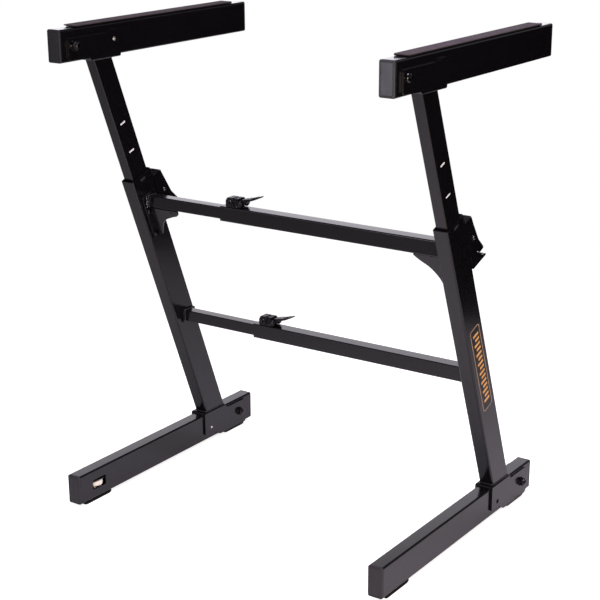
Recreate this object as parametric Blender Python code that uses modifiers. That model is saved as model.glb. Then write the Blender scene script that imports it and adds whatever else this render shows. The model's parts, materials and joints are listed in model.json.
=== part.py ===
# Folding keyboard stand: two Z-shaped side frames with fold-away feet and arms, uprights that
# telescope under squeeze latches, and two telescoping crossbars held by cam clamps.
# Metres, +Z up. The player's side is -Y and the origin is under the middle of the whole stand.
import bpy
import numpy as np
from math import cos, pi, radians, sin
from mathutils import Matrix, Vector

MM = 0.001

# Overall sizes (mm): y runs back from the feet's front ends, z up from the floor
FRAME_SPACING = 584.8
FOOT_LENGTH = 481.8
ARM_LENGTH = 470.7
ARM_Z = 730.2
LEAN = 68.76
UPRIGHT_FROM_REAR = 114.5
ARM_AHEAD = 77.55

# Named clearances (mm)
GAP = 0.35
SLIDE_GAP = 0.4
PIN_GAP = 0.25
TONGUE_GAP = 0.5

# Tubes (mm)
BEAM_W = 25.0
BEAM_H = 50.0
OUTER_W = 25.0
OUTER_DEPTH = 50.0
INNER_W = 19.0
INNER_DEPTH = 40.0
INNER_BAR = 19.4
OUTER_BAR = 24.6
WALL = 2.0
BAR_WALL = 1.5
OUTER_BAR_WALL = 2.0
TUBE_CORNER = 3.0
INNER_CORNER = 2.5
BAR_CORNER = 2.0

# End caps (mm)
CAP_FLANGE = 3.4
CAP_PLUG = 12.0
CAP_WALL = 1.85
CAP_EDGE = 0.7

# Feet (mm): the hinge bolt and the button measured from the foot's rear end
FOOT_Z = 5.3
FOOT_PIVOT_FROM_REAR = 40.8
FOOT_PIVOT_UP = 25.7
FOOT_BUTTON_FROM_REAR = 125.8
FOOT_BUTTON_UP = 21.7
FOOT_PAD_FRONT = (12.0, 80.0)
FOOT_PAD_FROM_REAR = (85.8, 23.8)
FOOT_PAD_INSET = 1.2

# Arms (mm): measured from the arm's front end
ARM_PIVOT_BACK = 27.4
ARM_BUTTON_BACK = 121.0
ARM_HOLE_UP = 24.8
ARM_PAD_BACK = 21.4
ARM_PAD_LENGTH = 414.0
ARM_PAD_T = 3.6
ARM_PAD_INSET = 2.0
ARM_PAD_RIBS = 5

# Folded brackets (mm)
PLATE = 3.0
FOOT_WEB = 3.5
BEND = 2.2
WEB_AHEAD = 8.2
WEB_BEHIND = 1.7
BRACKET_REAR = 20.8
NOTCH_START = 28.0
NOTCH_END = 42.0
NOTCH_UP = 10.5
HEAD_BEHIND = 14.5

# Bolts, nuts and buttons (mm)
BOLT_D = 8.0
BOLT_HEAD_D = 13.6
BOLT_HEAD_T = 4.25
BOLT_SOCKET = 5.2
NUT_D = 14.8
NUT_T = 7.25
BOLT_TAIL = 9.5
BUTTON_D = 6.4
BUTTON_COLLAR = 1.6
BUTTON_REACH = 9.0

# Telescoping uprights (mm): s along the tube from the floor, d behind the front face
OUTER_TOP = 556.0
INNER_LENGTH = 507.9
BUSH_BELOW_TOP = 18.5
BUSH_LENGTH = 8.0
SLOT_PITCH = 51.5
SLOT_COUNT = 7
SLOT_LENGTH = 14.0
SLOT_HEIGHT = 4.2
SLOT_AHEAD = 1.5
SLOT_BELOW_HEAD = 122.7
RUNG = 3.2

# Height latch (mm): distances below the outer tube's mouth and behind its rear face
TONGUE_BELOW = 26.5
TONGUE_T = 3.0
TONGUE_W = 11.2
LEVER_PIVOT_BELOW = 51.7
LEVER_PIVOT_BEHIND = 16.0
LEVER_PIN_D = 5.0
RIVET_D = 8.8
HOUSING_PLATE = 2.0
LEVER_PLATE = 1.8
SPRING_WIRE = 1.1
SPRING_TURNS = 4
SPRING_SPACE = 0.75

# Crossbars (mm): where they meet the uprights, and their lengths
UPPER_BAR_BELOW_TOP = 49.9
LOWER_BAR_AT = 268.8
BAR_BEHIND = 28.3
OUTER_BAR_LEFT = -127.0
INNER_BAR_INSIDE = 300.0
END_PLATE = 3.0
GUSSET_T = 3.0
GUSSET_BEHIND = 16.0

# Cam clamps (mm): measured from the outer bar's open end
CLAMP_BACK = 10.0
CLAMP_LENGTH = 33.5
CLAMP_DEPTH = 20.0
CLAMP_H = 13.5
CAM_PIN_D = 4.0
CAM_PIN_UP = 7.0
CAM_PIN_IN = 5.0
CAM_LEVER_W = 15.0

# Levelling wheel and screw in the left foot (mm)
WHEEL_BACK = 49.5
WHEEL_D = 27.4
WHEEL_UP = 20.3
WHEEL_T = 7.4
WHEEL_TEETH = 36
WINDOW_LENGTH = 32.0
WINDOW_UP = 15.7
WINDOW_H = 17.0
SCREW_D = 8.0
SCREW_TOP_UP = 42.7
SCREW_FOOT_D = 15.0

# What follows from the sizes
SIN_L = sin(radians(LEAN))
COS_L = cos(radians(LEAN))
X_LEFT = -FRAME_SPACING / 2
X_RIGHT = FRAME_SPACING / 2
HALF_BEAM = BEAM_W / 2
HALF_OUTER = OUTER_W / 2
TUBE_MIDDLE = OUTER_DEPTH / 2
INNER_FRONT = TUBE_MIDDLE - INNER_DEPTH / 2
INNER_REAR = TUBE_MIDDLE + INNER_DEPTH / 2
UPRIGHT_FOOT_Y = FOOT_LENGTH - UPRIGHT_FROM_REAR
FOOT_WEB_Z = FOOT_Z + BEAM_H + GAP
ARM_WEB_Z = ARM_Z - GAP - PLATE
TONGUE_AT = OUTER_TOP - TONGUE_BELOW
BRACKET_FACE = HALF_BEAM + GAP + PLATE
FOOT_PIVOT = (FOOT_LENGTH - FOOT_PIVOT_FROM_REAR, FOOT_Z + FOOT_PIVOT_UP)
FOOT_BUTTON = (FOOT_LENGTH - FOOT_BUTTON_FROM_REAR, FOOT_Z + FOOT_BUTTON_UP)
SHIFT_X = (BOLT_TAIL - BOLT_HEAD_T - GAP) / 2


def upright(s, d):
    # A point s along the tube and d behind its front face, as (y, z)
    return UPRIGHT_FOOT_Y - COS_L * s + SIN_L * d, SIN_L * s + COS_L * d


def along_to(z, d):
    # How far along the tube the line d behind its front face reaches the height z
    return (z - COS_L * d) / SIN_L


HEAD_S = along_to(ARM_WEB_Z, INNER_FRONT)
HEAD_Y = upright(HEAD_S, INNER_FRONT)[0]
ARM_FRONT = HEAD_Y - ARM_AHEAD
ARM_PIVOT = (ARM_FRONT + ARM_PIVOT_BACK, ARM_Z + ARM_HOLE_UP)
ARM_BUTTON = (ARM_FRONT + ARM_BUTTON_BACK, ARM_Z + ARM_HOLE_UP)
UPPER_BAR = upright(OUTER_TOP - UPPER_BAR_BELOW_TOP, BAR_BEHIND)
LOWER_BAR = upright(LOWER_BAR_AT, BAR_BEHIND)
SHIFT_Y = (min(0.0, ARM_FRONT) + max(FOOT_LENGTH, ARM_FRONT + ARM_LENGTH)) / 2

for old in list(bpy.data.objects):
    bpy.data.objects.remove(old, do_unlink=True)

scene_root = bpy.context.scene.collection
parts = bpy.data.collections.new("KeyboardStand")
cutters = bpy.data.collections.new("Cutters")
scene_root.children.link(parts)
scene_root.children.link(cutters)

# Base colour, metallic and roughness of each finish
FINISH = {
    "powder_coat": ((0.008, 0.0076, 0.008, 1), 0.0, 0.34),
    "moulded": ((0.01, 0.0096, 0.0102, 1), 0.0, 0.45),
    "rubber": ((0.03, 0.026, 0.024, 1), 0.0, 0.8),
    "nickel": ((0.7, 0.69, 0.65, 1), 1.0, 0.25),
    "black_oxide": ((0.08, 0.078, 0.08, 1), 0.9, 0.38),
}

WORLD = Matrix(((MM, 0, 0, -SHIFT_X * MM), (0, MM, 0, -SHIFT_Y * MM), (0, 0, MM, 0), (0, 0, 0, 1)))

# Columns are an outline's u, v and extrusion directions in the stand's own axes
PLANES = {
    "side": Matrix(((0, 0, 1, 0), (1, 0, 0, 0), (0, 1, 0, 0), (0, 0, 0, 1))),
    "along_y": Matrix(((1, 0, 0, 0), (0, 0, 1, 0), (0, 1, 0, 0), (0, 0, 0, 1))),
    "flat": Matrix(((1, 0, 0, 0), (0, 1, 0, 0), (0, 0, 1, 0), (0, 0, 0, 1))),
    "tube": Matrix(((1, 0, 0, 0), (0, SIN_L, -COS_L, UPRIGHT_FOOT_Y), (0, COS_L, SIN_L, 0), (0, 0, 0, 1))),
    "plate": Matrix(((1, 0, 0, 0), (0, -COS_L, SIN_L, UPRIGHT_FOOT_Y), (0, SIN_L, COS_L, 0), (0, 0, 0, 1))),
}


def tidy(obj, distance=0.00001):
    # Merge doubled points left by the curve or the Boolean
    bpy.ops.object.select_all(action="DESELECT")
    bpy.context.view_layer.objects.active = obj
    obj.select_set(True)
    bpy.ops.object.mode_set(mode="EDIT")
    bpy.ops.mesh.select_all(action="SELECT")
    bpy.ops.mesh.remove_doubles(threshold=distance)
    bpy.ops.mesh.dissolve_degenerate(threshold=distance)
    bpy.ops.mesh.normals_make_consistent(inside=False)
    bpy.ops.object.mode_set(mode="OBJECT")


def curve_solid(name, curve, move):
    # The mesh of a curve, moved into the stand's place
    holder = bpy.data.objects.new(name, curve)
    cutters.objects.link(holder)
    bpy.context.view_layer.update()
    depsgraph = bpy.context.evaluated_depsgraph_get()
    mesh = bpy.data.meshes.new_from_object(holder.evaluated_get(depsgraph))
    bpy.data.objects.remove(holder, do_unlink=True)
    mesh.transform(move)
    if move.to_3x3().determinant() < 0:
        mesh.flip_normals()
    solid = bpy.data.objects.new(name, mesh)
    cutters.objects.link(solid)
    tidy(solid)
    return solid


def prism(name, outline, low, high, plane="side", holes=()):
    # A flat outline with its holes, extruded from low to high
    curve = bpy.data.curves.new(name, "CURVE")
    curve.dimensions = "2D"
    curve.fill_mode = "BOTH"
    curve.extrude = (high - low) / 2
    for loop in [outline] + list(holes):
        spline = curve.splines.new("POLY")
        spline.points.add(len(loop) - 1)
        for point, (u, v) in zip(spline.points, loop):
            point.co = (u, v, 0, 1)
        spline.use_cyclic_u = True
    return curve_solid(name, curve, WORLD @ PLANES[plane] @ Matrix.Translation((0, 0, (low + high) / 2)))


def rounded(u0, v0, u1, v1, radius, steps=4):
    # A rectangle with round corners
    points = []
    corners = ((u1 - radius, v1 - radius, 0), (u0 + radius, v1 - radius, 90),
               (u0 + radius, v0 + radius, 180), (u1 - radius, v0 + radius, 270))
    for centre_u, centre_v, start in corners:
        for step in range(steps + 1):
            angle = radians(start + 90 * step / steps)
            points.append((centre_u + radius * cos(angle), centre_v + radius * sin(angle)))
    return points


def square(u, v, half, radius, steps=3):
    return rounded(u - half, v - half, u + half, v + half, radius, steps)


def centred(u, half_width, v0, v1, radius, steps=4):
    # A rectangle with round corners, as wide each side of u
    return rounded(u - half_width, v0, u + half_width, v1, radius, steps)


def circle(u, v, radius, steps=16):
    angles = [2 * pi * step / steps for step in range(steps)]
    return [(u + radius * cos(angle), v + radius * sin(angle)) for angle in angles]


def soften(corners, radius, steps=2):
    # Round every corner of an outline by the radius, less where the sides are short
    out = []
    count = len(corners)
    for index in range(count):
        before, corner, after = (Vector(corners[(index + shift) % count]) for shift in (-1, 0, 1))
        back = before - corner
        ahead = after - corner
        reach = min(radius, back.length * 0.45, ahead.length * 0.45)
        start = corner + back.normalized() * reach
        end = corner + ahead.normalized() * reach
        for step in range(steps + 1):
            t = step / steps
            point = start * (1 - t) ** 2 + corner * 2 * t * (1 - t) + end * t ** 2
            out.append((point.x, point.y))
    return out


def shifted(outline, u, v):
    return [(a + u, b + v) for a, b in outline]


def along(outline):
    # Turn (s, d) pairs into (y, z) pairs
    return [upright(s, d) for s, d in outline]


def at_latch(outline):
    # Turn distances above the mouth and behind the tube's rear face into (y, z) pairs
    return along(shifted(outline, OUTER_TOP, OUTER_DEPTH))


def combine(solid, other, operation):
    # One exact Boolean; the second solid is used up
    step = solid.modifiers.new("Combine", "BOOLEAN")
    step.operation = operation
    step.solver = "EXACT"
    step.object = other
    bpy.context.view_layer.update()
    depsgraph = bpy.context.evaluated_depsgraph_get()
    mesh = bpy.data.meshes.new_from_object(solid.evaluated_get(depsgraph))
    solid.modifiers.clear()
    solid.data = mesh
    bpy.data.objects.remove(other, do_unlink=True)
    return solid


def cut(solid, other):
    return combine(solid, other, "DIFFERENCE")


def join(solid, other):
    return combine(solid, other, "UNION")


def primitive(name, move):
    # Take the primitive just added, move its mesh into the stand's place and leave it unrotated
    solid = bpy.context.active_object
    solid.name = name
    solid.data.transform(WORLD @ move)
    for holder in list(solid.users_collection):
        holder.objects.unlink(solid)
    cutters.objects.link(solid)
    return solid


def rod(name, x0, x1, y, z, radius, steps=16):
    # A round bar lying along X
    bpy.ops.mesh.primitive_cylinder_add(vertices=steps, radius=radius, depth=abs(x1 - x0))
    turn = Matrix.Rotation(pi / 2, 4, "Y") @ Matrix.Rotation(pi / steps, 4, "Z")
    return primitive(name, Matrix.Translation(((x0 + x1) / 2, y, z)) @ turn)


def rod_y(name, y0, y1, x, z, radius, steps=16):
    # A round bar lying along Y
    bpy.ops.mesh.primitive_cylinder_add(vertices=steps, radius=radius, depth=abs(y1 - y0))
    return primitive(name, Matrix.Translation((x, (y0 + y1) / 2, z)) @ Matrix.Rotation(pi / 2, 4, "X"))


def rod_z(name, z0, z1, x, y, radius, steps=16):
    # A standing round bar
    bpy.ops.mesh.primitive_cylinder_add(vertices=steps, radius=radius, depth=abs(z1 - z0))
    return primitive(name, Matrix.Translation((x, y, (z0 + z1) / 2)))


def sized(lows, highs):
    middle = [(low + high) / 2 for low, high in zip(lows, highs)]
    sides = [abs(high - low) for low, high in zip(lows, highs)]
    return Matrix.Translation(middle) @ Matrix.Diagonal((*sides, 1))


def box(name, x0, x1, y0, y1, z0, z1):
    bpy.ops.mesh.primitive_cube_add(size=1.0)
    return primitive(name, sized((x0, y0, z0), (x1, y1, z1)))


def tube_box(name, x0, x1, d0, d1, s0, s1):
    # A box squared to the upright: x across, d behind the front face, s along the tube
    bpy.ops.mesh.primitive_cube_add(size=1.0)
    return primitive(name, PLANES["tube"] @ sized((x0, d0, s0), (x1, d1, s1)))


def node(solid, name, finish, origin=None, bevel=0.0):
    # Give the finished solid its name, its own finish and, if it moves, its origin on the joint
    if bevel:
        edge = solid.modifiers.new("Edges", "BEVEL")
        edge.width = bevel * MM
        edge.segments = 1
        edge.limit_method = "ANGLE"
        edge.angle_limit = radians(40)
    solid.name = name
    solid.data.name = name
    colour, metallic, roughness = FINISH[finish]
    material = bpy.data.materials.new(name + "_finish")
    material.use_nodes = True
    shader = material.node_tree.nodes["Principled BSDF"]
    shader.inputs["Base Color"].default_value = colour
    shader.inputs["Metallic"].default_value = metallic
    shader.inputs["Roughness"].default_value = roughness
    solid.data.materials.clear()
    solid.data.materials.append(material)
    tidy(solid)
    if origin is not None:
        spot = WORLD @ Vector(origin)
        solid.data.transform(Matrix.Translation(-spot))
        solid.location = spot
    cutters.objects.unlink(solid)
    parts.objects.link(solid)
    return solid


def beam(name, middle_x, y0, y1, z0):
    # A rectangular tube lying front to back
    outer = centred(middle_x, HALF_BEAM, z0, z0 + BEAM_H, TUBE_CORNER)
    bore = centred(middle_x, HALF_BEAM - WALL, z0 + WALL, z0 + BEAM_H - WALL, TUBE_CORNER - WALL, 2)
    return prism(name, outer, y0, y1, "along_y", [bore])


def end_cap(name, middle_x, y_end, outward, z0, origin):
    # A moulded cap: a rounded flange over the tube's end and a hollow plug inside it
    top = z0 + BEAM_H
    flange_y = sorted((y_end, y_end - outward * CAP_FLANGE))
    cap = prism(name, centred(middle_x, HALF_BEAM, z0, top, TUBE_CORNER), *flange_y, "along_y")
    seat = WALL + GAP
    plug_outline = centred(middle_x, HALF_BEAM - seat, z0 + seat, top - seat, 0.8, 2)
    inset = seat + CAP_WALL
    well_outline = centred(middle_x, HALF_BEAM - inset, z0 + inset, top - inset, 0.6, 2)
    tip = y_end - outward * (CAP_FLANGE + CAP_PLUG)
    root = y_end - outward * (CAP_FLANGE - 0.8)
    floor = y_end - outward * (CAP_FLANGE + 1.0)
    join(cap, prism("plug", plug_outline, *sorted((root, tip)), "along_y"))
    cut(cap, prism("well", well_outline, *sorted((floor, tip - outward * 2)), "along_y"))
    return node(cap, name, "moulded", origin, bevel=CAP_EDGE)


def bolt(name, middle_x, pivot, head_side):
    # A button-head bolt through bracket and beam, its lock nut and the thread's end beyond it
    y, z = pivot
    head_face = middle_x + head_side * (BRACKET_FACE + GAP)
    nut_face = middle_x - head_side * (BRACKET_FACE + GAP)
    tail = middle_x - head_side * (BRACKET_FACE + BOLT_TAIL)
    radius = BOLT_D / 2 - PIN_GAP
    screw = rod(name, *sorted((tail, head_face + head_side * 0.5)), y, z, radius)
    head = rod("head", *sorted((head_face, head_face + head_side * BOLT_HEAD_T)), y, z, BOLT_HEAD_D / 2, 24)
    nut = rod("nut", *sorted((nut_face, nut_face - head_side * NUT_T)), y, z, NUT_D / 2, 6)
    depth = (head_face + head_side * (BOLT_HEAD_T - 2.2), head_face + head_side * (BOLT_HEAD_T + 1.4))
    socket = rod("socket", *sorted(depth), y, z, BOLT_SOCKET / 2, 6)
    join(screw, head)
    join(screw, nut)
    cut(screw, socket)
    return node(screw, name, "black_oxide", (middle_x, y, z), bevel=0.35)


def snap_button(name, middle_x, spot, side):
    # A sprung button inside the beam, flush with its face, with a collar that keeps it in
    y, z = spot
    face = middle_x + side * HALF_BEAM
    inside = face - side * (WALL + SLIDE_GAP)
    stem = rod(name, *sorted((face, face - side * BUTTON_REACH)), y, z, BUTTON_D / 2)
    collar = rod("collar", *sorted((inside, inside - side * 2.0)), y, z, BUTTON_D / 2 + BUTTON_COLLAR)
    join(stem, collar)
    return node(stem, name, "nickel", (face, y, z), bevel=0.5)


def folded(name, outline, section):
    # Sheet folded to a U: what its side outline and its folded section share
    across = [u for u, v in section]
    reach = [u for u, v in outline]
    plates = prism(name, outline, min(across) - 1, max(across) + 1)
    fold = prism("fold", section, min(reach) - 5, max(reach) + 5, "along_y")
    return combine(plates, fold, "INTERSECT")


def fold_section(middle_x, web_outside, web_inside, opening):
    # The U's section in x and z, with round bends at the web and square plate ends
    outer = BRACKET_FACE
    inner = HALF_BEAM + GAP
    up = 1 if web_outside > opening else -1
    section = [(middle_x - outer, opening)]
    for side, angles in ((-1, (0, 22.5, 45, 67.5, 90)), (1, (90, 67.5, 45, 22.5, 0))):
        for angle in angles:
            across = outer - BEND * (1 - cos(radians(angle)))
            height = web_outside - up * BEND * (1 - sin(radians(angle)))
            section.append((middle_x + side * across, height))
    section += [(middle_x + outer, opening), (middle_x + inner, opening), (middle_x + inner, web_inside)]
    section += [(middle_x - inner, web_inside), (middle_x - inner, opening)]
    return section


def make_foot(tag, middle_x, inward):
    pivot_y, pivot_z = FOOT_PIVOT
    button_y, button_z = FOOT_BUTTON
    origin = (middle_x, pivot_y, pivot_z)
    foot = beam(tag + "_foot_beam", middle_x, CAP_FLANGE + GAP, FOOT_LENGTH - CAP_FLANGE - GAP, FOOT_Z)
    cut(foot, rod("bolt_hole", middle_x - 20, middle_x + 20, pivot_y, pivot_z, BOLT_D / 2 + PIN_GAP))
    face = middle_x + inward * HALF_BEAM
    wall = sorted((face - inward * 2 * WALL, face + inward * 2 * WALL))
    cut(foot, rod("button_hole", *wall, button_y, button_z, BUTTON_D / 2 + SLIDE_GAP))
    if inward > 0:
        low = FOOT_Z + WINDOW_UP
        window = centred(WHEEL_BACK, WINDOW_LENGTH / 2, low, low + WINDOW_H, 2.0, 3)
        cut(foot, prism("window", window, middle_x - 20, middle_x + 20))
        hole = SCREW_D / 2 + SLIDE_GAP
        cut(foot, rod_z("screw_hole", FOOT_Z - 1, FOOT_Z + WALL + 1, middle_x, WHEEL_BACK, hole))
    node(foot, tag + "_foot_beam", "powder_coat", origin)
    end_cap(tag + "_foot_front_cap", middle_x, 0.0, -1, FOOT_Z, origin)
    end_cap(tag + "_foot_rear_cap", middle_x, FOOT_LENGTH, 1, FOOT_Z, origin)
    rear_pad = [FOOT_LENGTH - back for back in FOOT_PAD_FROM_REAR]
    for label, (start, end) in (("front", FOOT_PAD_FRONT), ("rear", rear_pad)):
        top = FOOT_Z - GAP
        profile = [(start, top), (start + 1.5, 1.4), (start + 6, 0),
                   (end - 6, 0), (end - 1.5, 1.4), (end, top)]
        half = HALF_BEAM - FOOT_PAD_INSET
        pad = prism("pad", soften(profile, 1.2), middle_x - half, middle_x + half)
        if inward > 0 and label == "front":
            hole = SCREW_FOOT_D / 2 + SLIDE_GAP
            cut(pad, rod_z("foot_hole", -1, FOOT_Z + 1, middle_x, WHEEL_BACK, hole, 24))
        node(pad, tag + "_foot_%s_pad" % label, "rubber", origin)
    snap_button(tag + "_foot_button", middle_x, FOOT_BUTTON, inward)


def make_lower_bracket(tag, middle_x):
    # Folded over the foot: its web is under the upright, its plates reach back past the hinge bolt,
    # and each plate's lower edge is raised ahead of the button
    web_top = FOOT_WEB_Z + FOOT_WEB
    seat = web_top + GAP
    front = upright(along_to(seat, 0), 0)[0] - WEB_AHEAD
    rear = upright(along_to(seat, OUTER_DEPTH), OUTER_DEPTH)[0] + WEB_BEHIND
    back = FOOT_LENGTH - BRACKET_REAR
    outline = [(front, FOOT_Z + NOTCH_UP), (front + NOTCH_START, FOOT_Z + NOTCH_UP),
               (front + NOTCH_END, FOOT_Z + 0.6), (back - 4, FOOT_Z + 0.6), (back, FOOT_Z + 4),
               (back, FOOT_Z + 42.7), (back - 4, FOOT_Z + 46),
               (rear + 11.5, FOOT_Z + 46), (rear, FOOT_Z + 47.2), (rear, web_top), (front, web_top)]
    section = fold_section(middle_x, web_top, FOOT_WEB_Z, FOOT_Z)
    bracket = folded(tag + "_lower_bracket", soften(outline, 5.0), section)
    cut(bracket, rod("bolt_hole", middle_x - 20, middle_x + 20, *FOOT_PIVOT, BOLT_D / 2 + PIN_GAP))
    cut(bracket, rod("button_hole", middle_x - 20, middle_x + 20, *FOOT_BUTTON, BUTTON_D / 2 + SLIDE_GAP))
    node(bracket, tag + "_lower_bracket", "powder_coat")
    return web_top


def make_outer_upright(tag, middle_x, web_top):
    # Cut level where it stands on the bracket, with the latch's slot behind and a guide slot across its mouth
    outline = centred(middle_x, HALF_OUTER, 0, OUTER_DEPTH, TUBE_CORNER)
    bore = centred(middle_x, HALF_OUTER - WALL, WALL, OUTER_DEPTH - WALL, TUBE_CORNER - WALL, 2)
    outer = prism(tag + "_upright_outer", outline, 20, OUTER_TOP, "tube", [bore])
    seat = web_top + GAP
    level_y = upright(along_to(seat, TUBE_MIDDLE), TUBE_MIDDLE)[0]
    cut(outer, box("level", middle_x - 40, middle_x + 40, level_y - 100, level_y + 130, seat - 100, seat))
    half_slot = TONGUE_W / 2 + 1.9
    cut(outer, tube_box("latch_slot", middle_x - half_slot, middle_x + half_slot, OUTER_DEPTH - 2.5 * WALL,
                        OUTER_DEPTH + 3, TONGUE_AT - TONGUE_T - 0.6, TONGUE_AT + TONGUE_T + 3.4))
    cut(outer, tube_box("guide_slot", middle_x - 20, middle_x + 20, TUBE_MIDDLE - 6, TUBE_MIDDLE + 7.5,
                        OUTER_TOP - 9.4, OUTER_TOP - 5.2))
    node(outer, tag + "_upright_outer", "powder_coat")
    reach = WALL + 0.2
    bush = centred(middle_x, HALF_OUTER - reach, reach, OUTER_DEPTH - reach, 0.9, 2)
    slide_half = INNER_W / 2 + PIN_GAP
    slide = centred(middle_x, slide_half, INNER_FRONT - PIN_GAP, INNER_REAR + PIN_GAP, INNER_CORNER, 3)
    low = OUTER_TOP - BUSH_BELOW_TOP
    node(prism("bush", bush, low, low + BUSH_LENGTH, "tube", [slide]), tag + "_guide_bush", "moulded")


def make_inner_upright(tag, middle_x):
    # Side slots show the rack's rungs, rear slots take the latch's tongue, and the top is cut level
    outline = centred(middle_x, INNER_W / 2, INNER_FRONT, INNER_REAR, INNER_CORNER)
    bore = centred(middle_x, INNER_W / 2 - WALL, INNER_FRONT + WALL, INNER_REAR - WALL, 0.8, 2)
    inner = prism(tag + "_upright_inner", outline, HEAD_S - INNER_LENGTH, HEAD_S + 20, "tube", [bore])
    level = ARM_WEB_Z - GAP
    cut(inner, box("level", middle_x - 40, middle_x + 40, HEAD_Y - 80, HEAD_Y + 150, level, level + 200))
    slot_middle = TUBE_MIDDLE - SLOT_AHEAD
    top_slot = HEAD_S - SLOT_BELOW_HEAD
    for index in range(SLOT_COUNT):
        s = top_slot - SLOT_PITCH * index
        cut(inner, tube_box("side_slot", middle_x - 20, middle_x + 20, slot_middle - SLOT_LENGTH / 2,
                            slot_middle + SLOT_LENGTH / 2, s - SLOT_HEIGHT / 2, s + SLOT_HEIGHT / 2))
    half_slot = TONGUE_W / 2 + 1.2
    half_height = TONGUE_T / 2 + 1.9
    for index in range(SLOT_COUNT):
        s = TONGUE_AT + SLOT_PITCH * (2 - index)
        cut(inner, tube_box("tongue_slot", middle_x - half_slot, middle_x + half_slot, INNER_REAR - WALL - 1,
                            INNER_REAR + 2, s - half_height, s + half_height))
    node(inner, tag + "_upright_inner", "powder_coat")

    # A bright ladder inside the tube whose rungs end in the side slots
    spine = RUNG / 2
    rung_end = INNER_W / 2 - PIN_GAP
    right_edge = []
    left_edge = []
    low = top_slot - SLOT_PITCH * (SLOT_COUNT - 1)
    for index in range(SLOT_COUNT):
        s = low + SLOT_PITCH * index
        for edge, side in ((right_edge, 1), (left_edge, -1)):
            edge.append((middle_x + side * spine, s - RUNG / 2))
            edge.append((middle_x + side * rung_end, s - RUNG / 2))
            edge.append((middle_x + side * rung_end, s + RUNG / 2))
            edge.append((middle_x + side * spine, s + RUNG / 2))
    rack = prism("rack", right_edge + left_edge[::-1], slot_middle - SLOT_LENGTH / 2 + GAP,
                 slot_middle + SLOT_LENGTH / 2 - GAP, "plate")
    node(rack, tag + "_height_rack", "nickel")


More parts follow.
